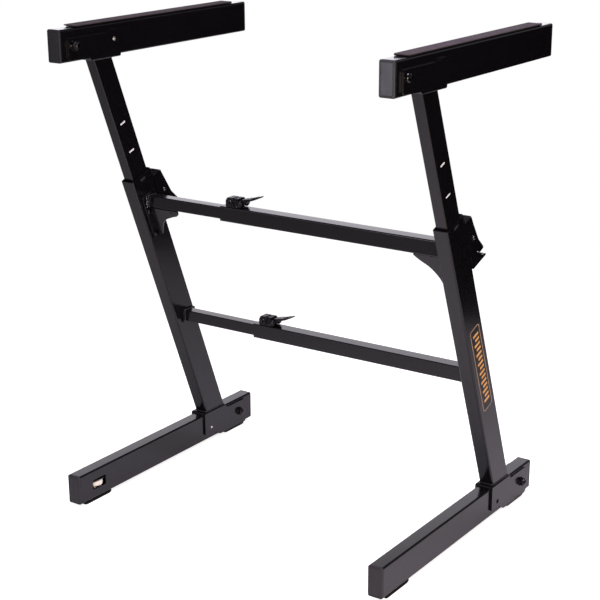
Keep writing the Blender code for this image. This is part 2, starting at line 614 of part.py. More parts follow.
def make_latch(tag, middle_x):
    # Housing: side plates flush with the tube, a base against it and a finger shelf below
    shell = [(-99.0, GAP), (-99.7, 40.4), (-98.8, 43.0), (-96.6, 41.6), (-92.5, 31.5), (-81.0, 19.8),
             (-76.5, 21.0), (-72.0, 27.5), (-56.0, 26.6), (-16.8, 20.0), (-16.8, GAP)]
    outline = at_latch(soften(shell, 3.0))
    housing = prism(tag + "_latch_housing", outline, middle_x - HALF_OUTER, middle_x + HALF_OUTER)
    inside = HALF_OUTER - HOUSING_PLATE
    base = GAP + HOUSING_PLATE
    room = at_latch([(-97.0, base), (-97.0, 49.0), (-11.0, 49.0), (-11.0, base)])
    mouth = at_latch([(-42.0, -1.0), (-42.0, 10.0), (-11.0, 10.0), (-11.0, -1.0)])
    cut(housing, prism("room", room, middle_x - inside, middle_x + inside))
    cut(housing, prism("mouth", mouth, middle_x - inside, middle_x + inside))
    pivot_s = OUTER_TOP - LEVER_PIVOT_BELOW
    pivot_d = OUTER_DEPTH + LEVER_PIVOT_BEHIND
    pivot = upright(pivot_s, pivot_d)
    cut(housing, rod("pin_hole", middle_x - 20, middle_x + 20, *pivot, LEVER_PIN_D / 2 + PIN_GAP))
    node(housing, tag + "_latch_housing", "powder_coat")

    # Lever: a channel between the plates, closed over its top, with the tongue below and a flared squeeze end
    profile = [(-17.5, 5.0), (-17.5, 22.8), (-66.2, 33.2), (-84.8, 43.0), (-87.7, 42.2), (-88.4, 30.4),
               (-79.2, 23.0), (-72.0, 12.5), (-56.0, 8.0), (-36.0, 5.0)]
    top = -17.5 - LEVER_PLATE
    hollow = [(top, -10.0), (top, 21.0), (-66.6, 31.1), (-84.0, 40.2), (-101.0, 49.0), (-101.0, -10.0)]
    cheek = inside - SLIDE_GAP
    channel = cheek - LEVER_PLATE
    lever = prism(tag + "_release_lever", at_latch(soften(profile, 2.0)), middle_x - cheek, middle_x + cheek)
    cut(lever, prism("hollow", at_latch(hollow), middle_x - channel, middle_x + channel))
    tip = INNER_REAR + TONGUE_GAP
    low = TONGUE_AT - TONGUE_T / 2
    high = TONGUE_AT + TONGUE_T / 2
    tongue = [(low, tip), (high, tip), (high, OUTER_DEPTH + 24.0), (low, OUTER_DEPTH + 24.4)]
    join(lever, prism("tongue", along(tongue), middle_x - TONGUE_W / 2, middle_x + TONGUE_W / 2))
    cut(lever, rod("pin_hole", middle_x - 20, middle_x + 20, *pivot, LEVER_PIN_D / 2 + PIN_GAP))
    node(lever, tag + "_release_lever", "powder_coat", (middle_x, *pivot))

    # Pin: a rivet across the side plates
    outside = HALF_OUTER + GAP - 0.05
    pin = rod(tag + "_lever_pin", middle_x - outside - 1.5, middle_x + outside + 1.5, *pivot, LEVER_PIN_D / 2)
    for side in (-1, 1):
        ends = sorted((middle_x + side * outside, middle_x + side * (outside + 1.7)))
        join(pin, rod("rivet_head", *ends, *pivot, RIVET_D / 2))
    node(pin, tag + "_lever_pin", "nickel", (middle_x, *pivot))

    # Torsion spring round the pin, one leg on the base, the other behind the lever's web
    wire = SPRING_WIRE / 2
    coil = LEVER_PIN_D / 2 + PIN_GAP + wire + 0.15
    lead = SPRING_WIRE + SPRING_SPACE
    start = radians(200)
    path = []
    for step in range(SPRING_TURNS * 10 + 1):
        angle = start + 2 * pi * step / 10
        x = middle_x - lead * SPRING_TURNS / 2 + lead * step / 10
        path.append((x, pivot_s + coil * sin(angle), pivot_d + coil * cos(angle)))
    first, last = path[0], path[-1]
    first_leg = (first[0], first[1] - 7.5 * cos(start), first[2] + 7.5 * sin(start))
    last_leg = (last[0], last[1] + 8.5 * cos(start), last[2] - 8.5 * sin(start))
    path = [first_leg] + path + [last_leg]
    curve = bpy.data.curves.new("spring", "CURVE")
    curve.dimensions = "3D"
    curve.bevel_depth = wire
    curve.bevel_resolution = 1
    curve.use_fill_caps = True
    spline = curve.splines.new("POLY")
    spline.points.add(len(path) - 1)
    for point, (x, s, d) in zip(spline.points, path):
        point.co = (x, *upright(s, d), 1)
    node(curve_solid("spring", curve, WORLD), tag + "_lever_spring", "nickel")
    points = np.array(path)
    spans = []
    for step in range(len(points) - 8):
        spans.append(np.linalg.norm(points[step + 8:] - points[step], axis=1).min())
    least = float(min(spans))
    print(tag, "lever spring: least gap between its turns %.2f mm" % (least - SPRING_WIRE))


def make_arm(tag, middle_x, inward, head_side):
    # Bracket folded under the arm, its web on top of the inner upright
    head_rear = HEAD_Y + INNER_DEPTH / SIN_L + HEAD_BEHIND
    outline = [(HEAD_Y - 61.1, ARM_Z + 5.8), (HEAD_Y - 59.1, ARM_Z + 3.8), (HEAD_Y - 28.1, ARM_Z + 1.8),
               (HEAD_Y - 15.1, ARM_Z + 2.2), (HEAD_Y - 10.6, ARM_WEB_Z), (head_rear - 0.5, ARM_WEB_Z),
               (head_rear, ARM_Z + 39.6), (head_rear - 21, ARM_Z + 40), (head_rear - 26, ARM_Z + 35.8),
               (HEAD_Y - 59.1, ARM_Z + 35.8), (HEAD_Y - 61.1, ARM_Z + 33.8)]
    section = fold_section(middle_x, ARM_WEB_Z, ARM_Z - GAP, ARM_Z + BEAM_H)
    bracket = folded(tag + "_arm_bracket", soften(outline, 3.0), section)
    cut(bracket, rod("bolt_hole", middle_x - 20, middle_x + 20, *ARM_PIVOT, BOLT_D / 2 + PIN_GAP))
    cut(bracket, rod("button_hole", middle_x - 20, middle_x + 20, *ARM_BUTTON, BUTTON_D / 2 + SLIDE_GAP))
    node(bracket, tag + "_arm_bracket", "powder_coat")
    bolt(tag + "_arm_pivot_bolt", middle_x, ARM_PIVOT, head_side)
    snap_button(tag + "_arm_button", middle_x, ARM_BUTTON, inward)

    # Beam with its caps and ribbed pad
    origin = (middle_x, *ARM_PIVOT)
    arm_rear = ARM_FRONT + ARM_LENGTH
    arm = beam(tag + "_arm_beam", middle_x, ARM_FRONT + CAP_FLANGE + GAP, arm_rear - CAP_FLANGE - GAP, ARM_Z)
    cut(arm, rod("bolt_hole", middle_x - 20, middle_x + 20, *ARM_PIVOT, BOLT_D / 2 + PIN_GAP))
    face = middle_x + inward * HALF_BEAM
    wall = sorted((face - inward * 2 * WALL, face + inward * 2 * WALL))
    cut(arm, rod("button_hole", *wall, *ARM_BUTTON, BUTTON_D / 2 + SLIDE_GAP))
    node(arm, tag + "_arm_beam", "powder_coat", origin)
    end_cap(tag + "_arm_front_cap", middle_x, ARM_FRONT, -1, ARM_Z, origin)
    end_cap(tag + "_arm_rear_cap", middle_x, arm_rear, 1, ARM_Z, origin)
    seat = ARM_Z + BEAM_H + GAP
    crest = seat + ARM_PAD_T
    left_edge = middle_x - HALF_BEAM + ARM_PAD_INSET
    pitch = (BEAM_W - 2 * ARM_PAD_INSET) / ARM_PAD_RIBS
    ribs = [(left_edge, seat)]
    for index in range(ARM_PAD_RIBS):
        u = left_edge + pitch * index
        ribs += [(u + 0.3, crest - 0.9), (u + 1.0, crest)]
        ribs += [(u + pitch - 1.0, crest), (u + pitch - 0.3, crest - 0.9)]
    ribs.append((middle_x + HALF_BEAM - ARM_PAD_INSET, seat))
    start = ARM_FRONT + ARM_PAD_BACK
    node(prism("pad", ribs, start, start + ARM_PAD_LENGTH, "along_y"), tag + "_arm_pad", "rubber", origin)


def side_frame(tag, middle_x, inward):
    # inward is +1 where the other frame lies towards +X
    make_foot(tag, middle_x, inward)
    web_top = make_lower_bracket(tag, middle_x)
    bolt(tag + "_foot_pivot_bolt", middle_x, FOOT_PIVOT, -1)
    make_outer_upright(tag, middle_x, web_top)
    make_inner_upright(tag, middle_x)
    make_latch(tag, middle_x)
    make_arm(tag, middle_x, inward, -inward)


def crossbar(tag, axis):
    # The inner bar is fixed to the left upright, the outer bar to the right one
    y, z = axis
    left_face = X_LEFT + HALF_OUTER + GAP
    right_face = X_RIGHT - HALF_OUTER - GAP
    half = INNER_BAR / 2
    bore = square(y, z, half - BAR_WALL, 0.4, 2)
    inner = prism(tag + "_inner_bar", square(y, z, half, BAR_CORNER - 0.4), left_face,
                  OUTER_BAR_LEFT + INNER_BAR_INSIDE, "side", [bore])
    if tag == "upper":
        plate = [(-64.6, -19.8), (-64.6, -2.3), (-51.1, 8.7), (11.9, 13.7), (16.9, 9.7), (16.9, -18.3),
                 (12.9, -20.8), (-57.1, -21.3)]
        bar_s = OUTER_TOP - UPPER_BAR_BELOW_TOP
        flange = along(shifted(soften(plate, 5.0), bar_s, BAR_BEHIND))
        screws = [upright(bar_s + below, BAR_BEHIND - 16.1) for below in (-56.1, -13.1)]
    else:
        flange = shifted(soften([(-13, -13.5), (19, -13.5), (19, 11), (-13, 11)], 4.0), y, z)
        screws = []
    end_plate = prism("end_plate", flange, left_face, left_face + END_PLATE)
    for screw_y, screw_z in screws:
        head = left_face + END_PLATE + 2.4
        join(end_plate, rod("screw_head", left_face + 0.5, head, screw_y, screw_z, 3.2, 12))
    join(inner, end_plate)
    cut(inner, prism("bore", bore, left_face - 1, left_face + 20))
    node(inner, tag + "_inner_bar", "powder_coat")

    half = OUTER_BAR / 2
    outer = prism(tag + "_outer_bar", square(y, z, half, BAR_CORNER), OUTER_BAR_LEFT, right_face, "side",
                  [square(y, z, half - OUTER_BAR_WALL, 0.5, 2)])
    node(outer, tag + "_outer_bar", "powder_coat")
    make_clamp(tag, y, z + half + GAP)


def make_clamp(tag, y, low):
    # A split block on the outer bar with a cam lever in its fork
    x0 = OUTER_BAR_LEFT + CLAMP_BACK
    x1 = x0 + CLAMP_LENGTH
    top = low + CLAMP_H
    half = CLAMP_DEPTH / 2
    pivot_x = x1 - CAM_PIN_IN
    pivot_z = low + CAM_PIN_UP
    hole = CAM_PIN_D / 2 + PIN_GAP
    outline = soften([(x0, low), (x1, low), (x1, top), (x0, top)], 1.5)
    block = prism(tag + "_clamp_body", outline, y - half, y + half, "along_y")
    cut(block, box("slit", x0 + 20.6, x0 + 22.4, y - 30, y + 30, low + 2.5, top + 5))
    cut(block, box("fork", x0 + 23.8, x1 + 5, y - 4.4, y + 4.4, low + 1.2, top + 5))
    cut(block, rod_y("pin_hole", y - 30, y + 30, pivot_x, pivot_z, hole))
    join(block, rod_y("screw_head", y - half - 2.4, y - half + 1, x0 + 6.0, low + 6.6, 3.9))
    node(block, tag + "_clamp_body", "moulded")

    handle = [(-3.6, -3.2), (-3.6, 3.2), (1.0, 4.6), (7.2, 3.4), (12.0, -1.2), (24.0, 1.0), (37.6, 7.2),
              (38.8, 4.6), (25.0, -2.8), (11.0, -5.2), (3.0, -4.4)]
    half_lever = CAM_LEVER_W / 2
    outline = shifted(soften(handle, 2.5), pivot_x, pivot_z)
    lever = prism(tag + "_cam_lever", outline, y - half_lever, y + half_lever, "along_y")
    for side in (-1, 1):
        sides = sorted((y + side * 4.0, y + side * (half_lever + 4.5)))
        cut(lever, box("narrow", pivot_x - 12, x1 + 3.1, *sides, pivot_z - 12, pivot_z + 12))
    cut(lever, rod_y("pin_hole", y - 30, y + 30, pivot_x, pivot_z, hole))
    node(lever, tag + "_cam_lever", "moulded", (pivot_x, y, pivot_z))
    pin = rod_y(tag + "_cam_pin", y - half - 1.0, y + half + 1.0, pivot_x, pivot_z, CAM_PIN_D / 2)
    for side in (-1, 1):
        ends = sorted((y + side * (half + GAP), y + side * (half + 1.6)))
        join(pin, rod_y("pin_head", *ends, pivot_x, pivot_z, CAM_PIN_D / 2 + 1.2))
    node(pin, tag + "_cam_pin", "nickel", (pivot_x, y, pivot_z))


def make_gussets():
    # Curved plates under the upper crossbar, one at each upright
    bar_s = OUTER_TOP - UPPER_BAR_BELOW_TOP
    rear = GUSSET_BEHIND + GUSSET_T
    bar_z = UPPER_BAR[1]
    edge = X_LEFT + HALF_OUTER + GAP + END_PLATE + GAP
    top = along_to(bar_z - INNER_BAR / 2 - GAP, rear) - bar_s
    plate = [(0, -60.1), (4.0, -62.1), (11.2, -57.1), (13.7, -50.1), (19.2, -36.6), (28.2, -26.1),
             (45.2, -19.1), (57.2, -15.6), (59.2, top), (0, top)]
    outline = shifted(soften(plate, 9.0, 4), edge, bar_s)
    node(prism("gusset", outline, GUSSET_BEHIND, rear, "plate"), "left_gusset", "powder_coat")
    edge = X_RIGHT - HALF_OUTER - GAP
    top = along_to(bar_z - OUTER_BAR / 2 - GAP, rear) - bar_s
    plate = [(0, -67.1), (-6.0, -65.1), (-9.05, -57.1), (-12.55, -48.6), (-18.05, -40.1), (-27.55, -29.6),
             (-43.55, -19.6), (-54.55, top), (0, top)]
    outline = shifted(soften(plate, 6.0, 3), edge, bar_s)
    node(prism("gusset", outline, GUSSET_BEHIND, rear, "plate"), "right_gusset", "powder_coat")


def make_leveller():
    # A knurled wheel, seen through the left foot's side windows, on a screw that lifts the foot
    low = FOOT_Z + WHEEL_UP
    rim = []
    for index in range(WHEEL_TEETH * 2):
        angle = pi * index / WHEEL_TEETH
        radius = WHEEL_D / 2 - (0.5 if index % 2 else 0.0)
        rim.append((X_LEFT + radius * cos(angle), WHEEL_BACK + radius * sin(angle)))
    bore = circle(X_LEFT, WHEEL_BACK, SCREW_D / 2 + PIN_GAP)
    wheel = prism("wheel", rim, low, low + WHEEL_T, "flat", [bore])
    node(wheel, "levelling_wheel", "nickel", (X_LEFT, WHEEL_BACK, low))
    screw = rod_z("screw", 2.0, FOOT_Z + SCREW_TOP_UP, X_LEFT, WHEEL_BACK, SCREW_D / 2)
    join(screw, rod_z("screw_foot", 0.0, FOOT_Z - GAP - 0.3, X_LEFT, WHEEL_BACK, SCREW_FOOT_D / 2, 24))
    node(screw, "levelling_screw", "nickel", (X_LEFT, WHEEL_BACK, 0.0), bevel=0.3)


side_frame("left", X_LEFT, 1)
side_frame("right", X_RIGHT, -1)
crossbar("upper", UPPER_BAR)
crossbar("lower", LOWER_BAR)
make_gussets()
make_leveller()

for leftover in list(cutters.objects):
    leftover.hide_render = True
    leftover.display_type = "WIRE"

total = 0
depsgraph = bpy.context.evaluated_depsgraph_get()
lows = np.full(3, 1e9)
highs = np.full(3, -1e9)
for obj in parts.objects:
    mesh = obj.evaluated_get(depsgraph).to_mesh()
    total += sum(len(poly.vertices) - 2 for poly in mesh.polygons)
    for vertex in mesh.vertices:
        spot = obj.matrix_world @ vertex.co
        lows = np.minimum(lows, spot)
        highs = np.maximum(highs, spot)
print("nodes", len(parts.objects), "triangles", total)
print("low", [round(float(v) / MM, 2) for v in lows], "high", [round(float(v) / MM, 2) for v in highs])
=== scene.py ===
# Folding keyboard stand, dressed for a product picture: powder-coated tubes and folded brackets,
# moulded caps, ribbed pads, plated pins, squeeze latches and two crossbars with cam clamps.
import json
from math import ceil, cos, pi, radians, sin

import bpy
import bmesh
from mathutils import Matrix, Vector


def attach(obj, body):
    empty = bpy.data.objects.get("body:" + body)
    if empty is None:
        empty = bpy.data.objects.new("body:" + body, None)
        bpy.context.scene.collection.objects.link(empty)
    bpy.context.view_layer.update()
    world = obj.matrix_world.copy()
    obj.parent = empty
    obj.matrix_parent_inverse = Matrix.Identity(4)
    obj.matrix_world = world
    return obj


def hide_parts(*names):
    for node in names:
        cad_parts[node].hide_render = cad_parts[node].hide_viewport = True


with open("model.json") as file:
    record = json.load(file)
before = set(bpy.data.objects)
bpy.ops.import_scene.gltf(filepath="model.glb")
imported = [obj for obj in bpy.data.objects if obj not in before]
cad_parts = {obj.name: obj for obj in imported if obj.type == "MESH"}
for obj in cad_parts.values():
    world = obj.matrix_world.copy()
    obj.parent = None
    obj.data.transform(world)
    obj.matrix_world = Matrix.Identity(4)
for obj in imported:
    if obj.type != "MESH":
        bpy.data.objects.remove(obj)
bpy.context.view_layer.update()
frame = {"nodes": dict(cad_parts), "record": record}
nodes = frame["nodes"]
scene = bpy.context.scene
bodyOf = {node: body for body, held in frame["record"]["behaviour"]["bodies"].items() for node in held}
print("frame loaded:", len(nodes), "nodes")

mm = 0.001

# The stand's own layout in millimetres: y back from the feet's front ends, z up from the floor
layout = {"spacing": 584.8, "shiftX": 2.45, "shiftY": 241.652, "lean": 68.76, "uprightFootY": 367.3,
          "footZ": 5.3, "footLength": 481.8, "armZ": 730.2, "armAhead": 77.55, "armLength": 470.7,
          "gap": 0.35, "plate": 3.0}
halfSpacing = layout["spacing"] / 2
gap = layout["gap"]
footZ = layout["footZ"]
footLength = layout["footLength"]
armZ = layout["armZ"]
uprightFootY = layout["uprightFootY"]
sinLean = sin(radians(layout["lean"]))
cosLean = cos(radians(layout["lean"]))


def onUpright(s, d):
    # A point s along the leaning tube and d behind its front face, as (y, z)
    return uprightFootY - cosLean * s + sinLean * d, sinLean * s + cosLean * d


def alongTo(z, d):
    # How far along the tube the line d behind its front face reaches the height z
    return (z - cosLean * d) / sinLean


def crossingY(z, d):
    # How far back that line is at the height z
    return onUpright(alongTo(z, d), d)[0]


def addObject(name, data):
    made = bpy.data.objects.new(name, data)
    scene.collection.objects.link(made)
    return made


# Camera, at the photograph's viewing angle
camera = {"azimuth": 34.36, "elevation": 19.41, "roll": -0.27, "place": (1.30115, -1.91023, 1.0598),
          "focalPixels": 1501.81, "imageSize": 600, "axisDownPixels": 60, "sensor": 36}


def makeCamera(v):
    # It looks back from the front, turned round the upright axis, tipped down and rolled
    turn = Matrix.Identity(4)
    for degrees, axis in ((v["azimuth"], "Z"), (90 - v["elevation"], "X"), (v["roll"], "Z")):
        turn = turn @ Matrix.Rotation(radians(degrees), 4, axis)
    data = bpy.data.cameras.new("photoCamera")
    data.sensor_width = v["sensor"]
    data.lens = v["sensor"] * v["focalPixels"] / v["imageSize"]
    data.shift_y = v["axisDownPixels"] / v["imageSize"]
    data.clip_start = 0.05
    data.clip_end = 50
    scene.camera = addObject("photoCamera", data)
    scene.camera.matrix_world = Matrix.Translation(v["place"]) @ turn


makeCamera(camera)
scene.view_settings.view_transform = "Standard"


# Colours and nodes
def hexColour(text):
    # sRGB hex to linear values
    out = []
    for i in (0, 2, 4):
        c = int(text.lstrip("#")[i:i + 2], 16) / 255
        out.append(c / 12.92 if c <= 0.04045 else ((c + 0.055) / 1.055) ** 2.4)
    return (*out, 1.0)


def addNode(tree, kind, links=None, values=None, **settings):
    # One node with its settings, its fixed socket values and what feeds it
    made = tree.nodes.new("ShaderNode" + kind)
    for name, value in settings.items():
        setattr(made, name, value)
    for name, value in (values or {}).items():
        made.inputs[name].default_value = value
    for name, source in (links or {}).items():
        tree.links.new(source, made.inputs[name])
    return made


def makeFinish(name, base, fleck, roughness, grain, drift, strength, relief, metallic=0.0, ior=1.5):
    # Two tones and a low relief from a fine grain, and a roughness range from a broad drift
    material = bpy.data.materials.new(name)
    material.use_nodes = True
    tree = material.node_tree
    shader = tree.nodes["Principled BSDF"]
    shader.inputs["Metallic"].default_value = metallic
    shader.inputs["IOR"].default_value = ior
    place = addNode(tree, "TexCoord").outputs["Object"]
    fine = addNode(tree, "TexNoise", {"Vector": place},
                   {"Scale": 1 / (grain * mm), "Detail": 2.5, "Roughness": 0.55})
    broad = addNode(tree, "TexNoise", {"Vector": place},
                    {"Scale": 1 / (drift * mm), "Detail": 3.0, "Roughness": 0.5})
    tone = addNode(tree, "Mix", {"Factor": fine.outputs["Fac"]},
                   {"A": hexColour(base), "B": hexColour(fleck)}, data_type="RGBA")
    rough = addNode(tree, "MapRange", {"Value": broad.outputs["Fac"]},
                    {"From Min": 0.3, "From Max": 0.7, "To Min": roughness[0], "To Max": roughness[1]})
    bump = addNode(tree, "Bump", {"Height": fine.outputs["Fac"]},
                   {"Strength": strength, "Distance": relief * mm})
    tree.links.new(tone.outputs["Result"], shader.inputs["Base Color"])
    tree.links.new(rough.outputs["Result"], shader.inputs["Roughness"])
    tree.links.new(bump.outputs["Normal"], shader.inputs["Normal"])
    return material


# Each finish: base and fleck colours, least and most roughness, the grain's and the drift's size in mm, the
# relief's strength, its depth in mm, how metallic it is and its IOR. The real grains are finer than 1 mm,
# and are drawn at 1 to 2.2 mm, or they wouldn't show.
finishRows = {
    # Powder-coated steel: an even black skin whose faint orange peel softens its reflections
    "powderCoat": ("powderCoatedSteel", "#0b090c", "#100e11", (0.15, 0.19), 2.2, 60, 0.08, 0.3),
    # The same coat over a weld, rougher on the ripples, but lighter and more metallic than the coat round it:
    # a painted sheen for the bright line along the welds
    "coatedWeld": ("powderCoatedWeld", "#2c2a2d", "#454247", (0.26, 0.36), 1.1, 9, 0.25, 0.3, 0.5),
    # Polypropylene moulding: a spark-eroded grain that scatters light into a soft grey bloom
    "mouldedCap": ("mouldedPolypropylene", "#1b191c", "#262428", (0.4, 0.5), 1.3, 18, 0.22, 0.25),
    # Glass-filled nylon clamp parts: darker, with a slightly dry sheen
    "clampNylon": ("glassFilledNylon", "#0e0d0f", "#171618", (0.3, 0.42), 1.2, 12, 0.18, 0.25, 0.0, 1.33),
    # Dark grey nylon of the guide bush, seen in the small side slots
    "guideNylon": ("greyGuideNylon", "#2a292b", "#353437", (0.4, 0.5), 1.2, 10, 0.12, 0.2),
    # Ribbed rubber on the arms: warm brown-grey and dry, with talc left in the grain
    "armRubber": ("ribbedArmRubber", "#393031", "#51474a", (0.66, 0.82), 1.1, 14, 0.5, 0.3, 0.0, 1.4),
    # Rubber under the feet and the arms' treads: blacker and dull
    "footRubber": ("footRubber", "#090808", "#120f10", (0.75, 0.9), 1.4, 10, 0.4, 0.3, 0.0, 1.25),
    # Satin nickel on the snap pins: broad pale highlights over fine turning marks
    "satinNickel": ("satinNickelPin", "#fffaf4", "#efe9e1", (0.32, 0.4), 1.0, 7, 0.08, 0.1, 1.0),
    # Bright zinc on the latch rivets and one bare fillet: greyer, with one soft highlight
    "zincRivet": ("zincPlatedRivet", "#8e8b8f", "#6f6c71", (0.2, 0.28), 1.0, 6, 0.1, 0.1, 1.0),
    # Bright nickel plate on springs, studs and the levelling screw: sharp pale reflections
    "nickel": ("nickelPlatedSteel", "#d9d4cd", "#bdb7af", (0.2, 0.32), 1.0, 7, 0.1, 0.1, 1.0),
    # Black zinc on bolts, nuts, washers and cam pins: dark metal that still throws small bright glints
    "blackZinc": ("blackZincSteel", "#545253", "#2d2b2c", (0.1, 0.18), 1.0, 6, 0.15, 0.15, 1.0),
    # Ivory nylon of the levelling wheel: warm, pale and half matt
    "ivoryNylon": ("ivoryNylon", "#fff6ea", "#f3e8d9", (0.35, 0.45), 1.2, 8, 0.1, 0.1),
    # Plain white on the index rungs: a bright mark in each slot
    "whiteEnamel": ("whiteEnamel", "#ffffff", "#f6f4f1", (0.3, 0.4), 1.5, 10, 0.05, 0.1),
    # Screen-printed vinyl: an amber ink with a slightly dusty edge to its gloss
    "amberInk": ("amberScreenInk", "#dd9a4a", "#f0b469", (0.4, 0.5), 1.2, 20, 0.1, 0.1),
    # Pale keyline round the scale, in thinned ink
    "paleInk": ("paleKeylineInk", "#b08d76", "#c5a48c", (0.4, 0.5), 1.2, 20, 0.1, 0.1),
    # Matt black vinyl that the scale is printed on
    "blackVinyl": ("blackVinyl", "#0e0c0c", "#151312", (0.36, 0.44), 1.6, 30, 0.08, 0.1),
}
finishes = {key: makeFinish(*row) for key, row in finishRows.items()}
print("finishes ready:", len(finishes))


# Mesh tools. Cutters that go right through reach this far to each side of a tube's middle.
through = 20.0
toFrame = Matrix.Translation((-layout["shiftX"] * mm, -layout["shiftY"] * mm, 0)) @ Matrix.Scale(mm, 4)

# Each drawing plane carries an outline's u and v, and its thickness, into the stand's x, y and z
planes = {
    "room": Matrix.Identity(4),
    "side": Matrix(((0, 0, 1, 0), (1, 0, 0, 0), (0, 1, 0, 0), (0, 0, 0, 1))),
    "front": Matrix(((1, 0, 0, 0), (0, 0, 1, 0), (0, 1, 0, 0), (0, 0, 0, 1))),
    "tube": Matrix(((1, 0, 0, 0), (0, sinLean, -cosLean, uprightFootY), (0, cosLean, sinLean, 0),
                    (0, 0, 0, 1))),
    "plate": Matrix(((1, 0, 0, 0), (0, -cosLean, sinLean, uprightFootY), (0, sinLean, cosLean, 0),
                     (0, 0, 0, 1))),
}


def loft(rings, closed=False):
    # Rings of as many points each, joined by faces; open ends get a flat cap
    shape = bmesh.new()
    rows = [[shape.verts.new(point) for point in ring] for ring in rings]
    pairs = list(zip(rows, rows[1:]))
    if closed:
        pairs.append((rows[-1], rows[0]))
    for lower, upper in pairs:
        for index in range(len(lower)):
            after = (index + 1) % len(lower)
            shape.faces.new((lower[index], lower[after], upper[after], upper[index]))
    if not closed:
        shape.faces.new(rows[0][::-1])
        shape.faces.new(rows[-1])
    return shape


def toMesh(shape, plane="room"):
    # Close the seams, turn the faces out and carry the mesh into the frame
    bmesh.ops.remove_doubles(shape, verts=shape.verts, dist=0.0005)
    bmesh.ops.recalc_face_normals(shape, faces=shape.faces)
    mesh = bpy.data.meshes.new("shape")
    shape.to_mesh(mesh)
    shape.free()
    move = toFrame @ planes[plane]
    mesh.transform(move)
    if move.determinant() < 0:
        mesh.flip_normals()
    return mesh


def prism(outline, low, high, plane="side"):
    return toMesh(loft([[(u, v, w) for u, v in outline] for w in (low, high)]), plane)


def slab(outline, midX, half=through):
    # A side outline's prism, reaching half to each side of a tube's middle; the default cuts right through
    return prism(outline, midX - half, midX + half)


def tube(outer, inner, low, high, plane):
    # A hollow section: both outlines have as many points
    loops = ((outer, low), (outer, high), (inner, high), (inner, low))
    return toMesh(loft([[(u, v, w) for u, v in loop] for loop, w in loops], closed=True), plane)


def circle(count):
    # Unit circle as (cos, sin) pairs
    return [(cos(2 * pi * step / count), sin(2 * pi * step / count)) for step in range(count)]


def turned(profile, centre, axis="X", count=40, closed=False):
    # A turned shape from (place, radius) pairs along an axis; a radius may be a function of angle and place
    rings = []
    for place, radius in profile:
        ring = []
        for step in range(count):
            angle = 2 * pi * (step + 0.5) / count
            reach = radius(angle, place) if callable(radius) else radius
            u = centre[0] + reach * cos(angle)
            v = centre[1] + reach * sin(angle)
            ring.append({"X": (place, u, v), "Y": (u, place, v), "Z": (u, v, place)}[axis])
        rings.append(ring)
    return toMesh(loft(rings, closed))


def placed(profile, origin, side=1):
    # A turned profile carried to its origin, running to that side
    return [(origin + side * place, reach) for place, reach in profile]


def twoHeads(head, middle, half):
    # A pin with the same head at each end
    return placed(head[::-1], middle - half, -1) + placed(head, middle + half)


def rod(low, high, centre, radius, axis="X", count=32):
    return turned([(low, radius), (high, radius)], centre, axis, count)


def drill(midX, spot, radius):
    return rod(midX - through, midX + through, spot, radius)


def hexagon(flats, limit=1000.0):
    # The reach of a hexagon this wide over its flats, with its corners turned down to the limit
    def reach(angle, place):
        return min(limit, flats / 2 / cos((angle + pi / 6) % (pi / 3) - pi / 6))
    return reach


def threaded(middle, depth, pitch):
    # The reach of a screw thread: a ridge that climbs one pitch in a turn
    def reach(angle, place):
        phase = (place / pitch - angle / (2 * pi)) % 1
        return middle + depth * (2 * abs(2 * phase - 1) - 1)
    return reach


def steps(start, end, spacing):
    count = max(1, ceil(abs(end - start) / spacing))
    return [start + (end - start) * index / count for index in range(count + 1)]


def threadRun(low, high, radius, depth, pitch):
    # The part of a turned profile that is threaded, in eight steps a turn
    return [(place, threaded(radius, depth, pitch)) for place in steps(low, high, pitch / 8)]


def rounded(u0, v0, u1, v1, radius, arc=6):
    # A rectangle with round corners
    points = []
    corners = ((u1 - radius, v1 - radius, 0), (u0 + radius, v1 - radius, 90),
               (u0 + radius, v0 + radius, 180), (u1 - radius, v0 + radius, 270))
    for centreU, centreV, start in corners:
        for step in range(arc + 1):
            angle = radians(start + 90 * step / arc)
            points.append((centreU + radius * cos(angle), centreV + radius * sin(angle)))
    return points


def centred(u, half, v0, v1, radius, arc=6):
    return rounded(u - half, v0, u + half, v1, radius, arc)


def around(axis, half, radius, arc=6):
    return centred(axis[0], half, axis[1] - half, axis[1] + half, radius, arc)


def softened(corners, radius, arc=5):
    # Round every corner of an outline by the radius, less where the sides are short
    points = []
    count = len(corners)
    for index in range(count):
        before, corner, after = (Vector(corners[(index + shift) % count]) for shift in (-1, 0, 1))
        back = before - corner
        ahead = after - corner
        reach = min(radius, back.length * 0.45, ahead.length * 0.45)
        start = corner + back.normalized() * reach
        end = corner + ahead.normalized() * reach
        for step in range(arc + 1):
            t = step / arc
            point = start * (1 - t) ** 2 + corner * 2 * t * (1 - t) + end * t ** 2
            points.append((point.x, point.y))
    return points


def shifted(outline, u, v):
    return [(a + u, b + v) for a, b in outline]


def onTube(outline):
    # Turn (s, d) pairs into (y, z) pairs
    return [onUpright(s, d) for s, d in outline]


def carved(mesh, tools, operation="DIFFERENCE"):
    # Exact Booleans with each tool in turn, then the flat faces merged again
    blank, *cutters = [addObject("cutting", each) for each in (mesh, *tools)]
    for cutter in cutters:
        cut = blank.modifiers.new("cut", "BOOLEAN")
        cut.operation = operation
        cut.solver = "EXACT"
        cut.object = cutter
    bpy.context.view_layer.update()
    depsgraph = bpy.context.evaluated_depsgraph_get()
    made = bpy.data.meshes.new_from_object(blank.evaluated_get(depsgraph))
    for each in (blank, *cutters):
        bpy.data.objects.remove(each, do_unlink=True)
    shape = bmesh.new()
    shape.from_mesh(made)
    bmesh.ops.remove_doubles(shape, verts=shape.verts, dist=0.000002)
    bmesh.ops.dissolve_limit(shape, angle_limit=radians(0.6), verts=shape.verts, edges=shape.edges)
    shape.to_mesh(made)
    shape.free()
    return made


def mount(piece, node, stands):
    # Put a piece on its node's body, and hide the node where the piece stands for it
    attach(piece, bodyOf[node])
    if stands:
        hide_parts(node)


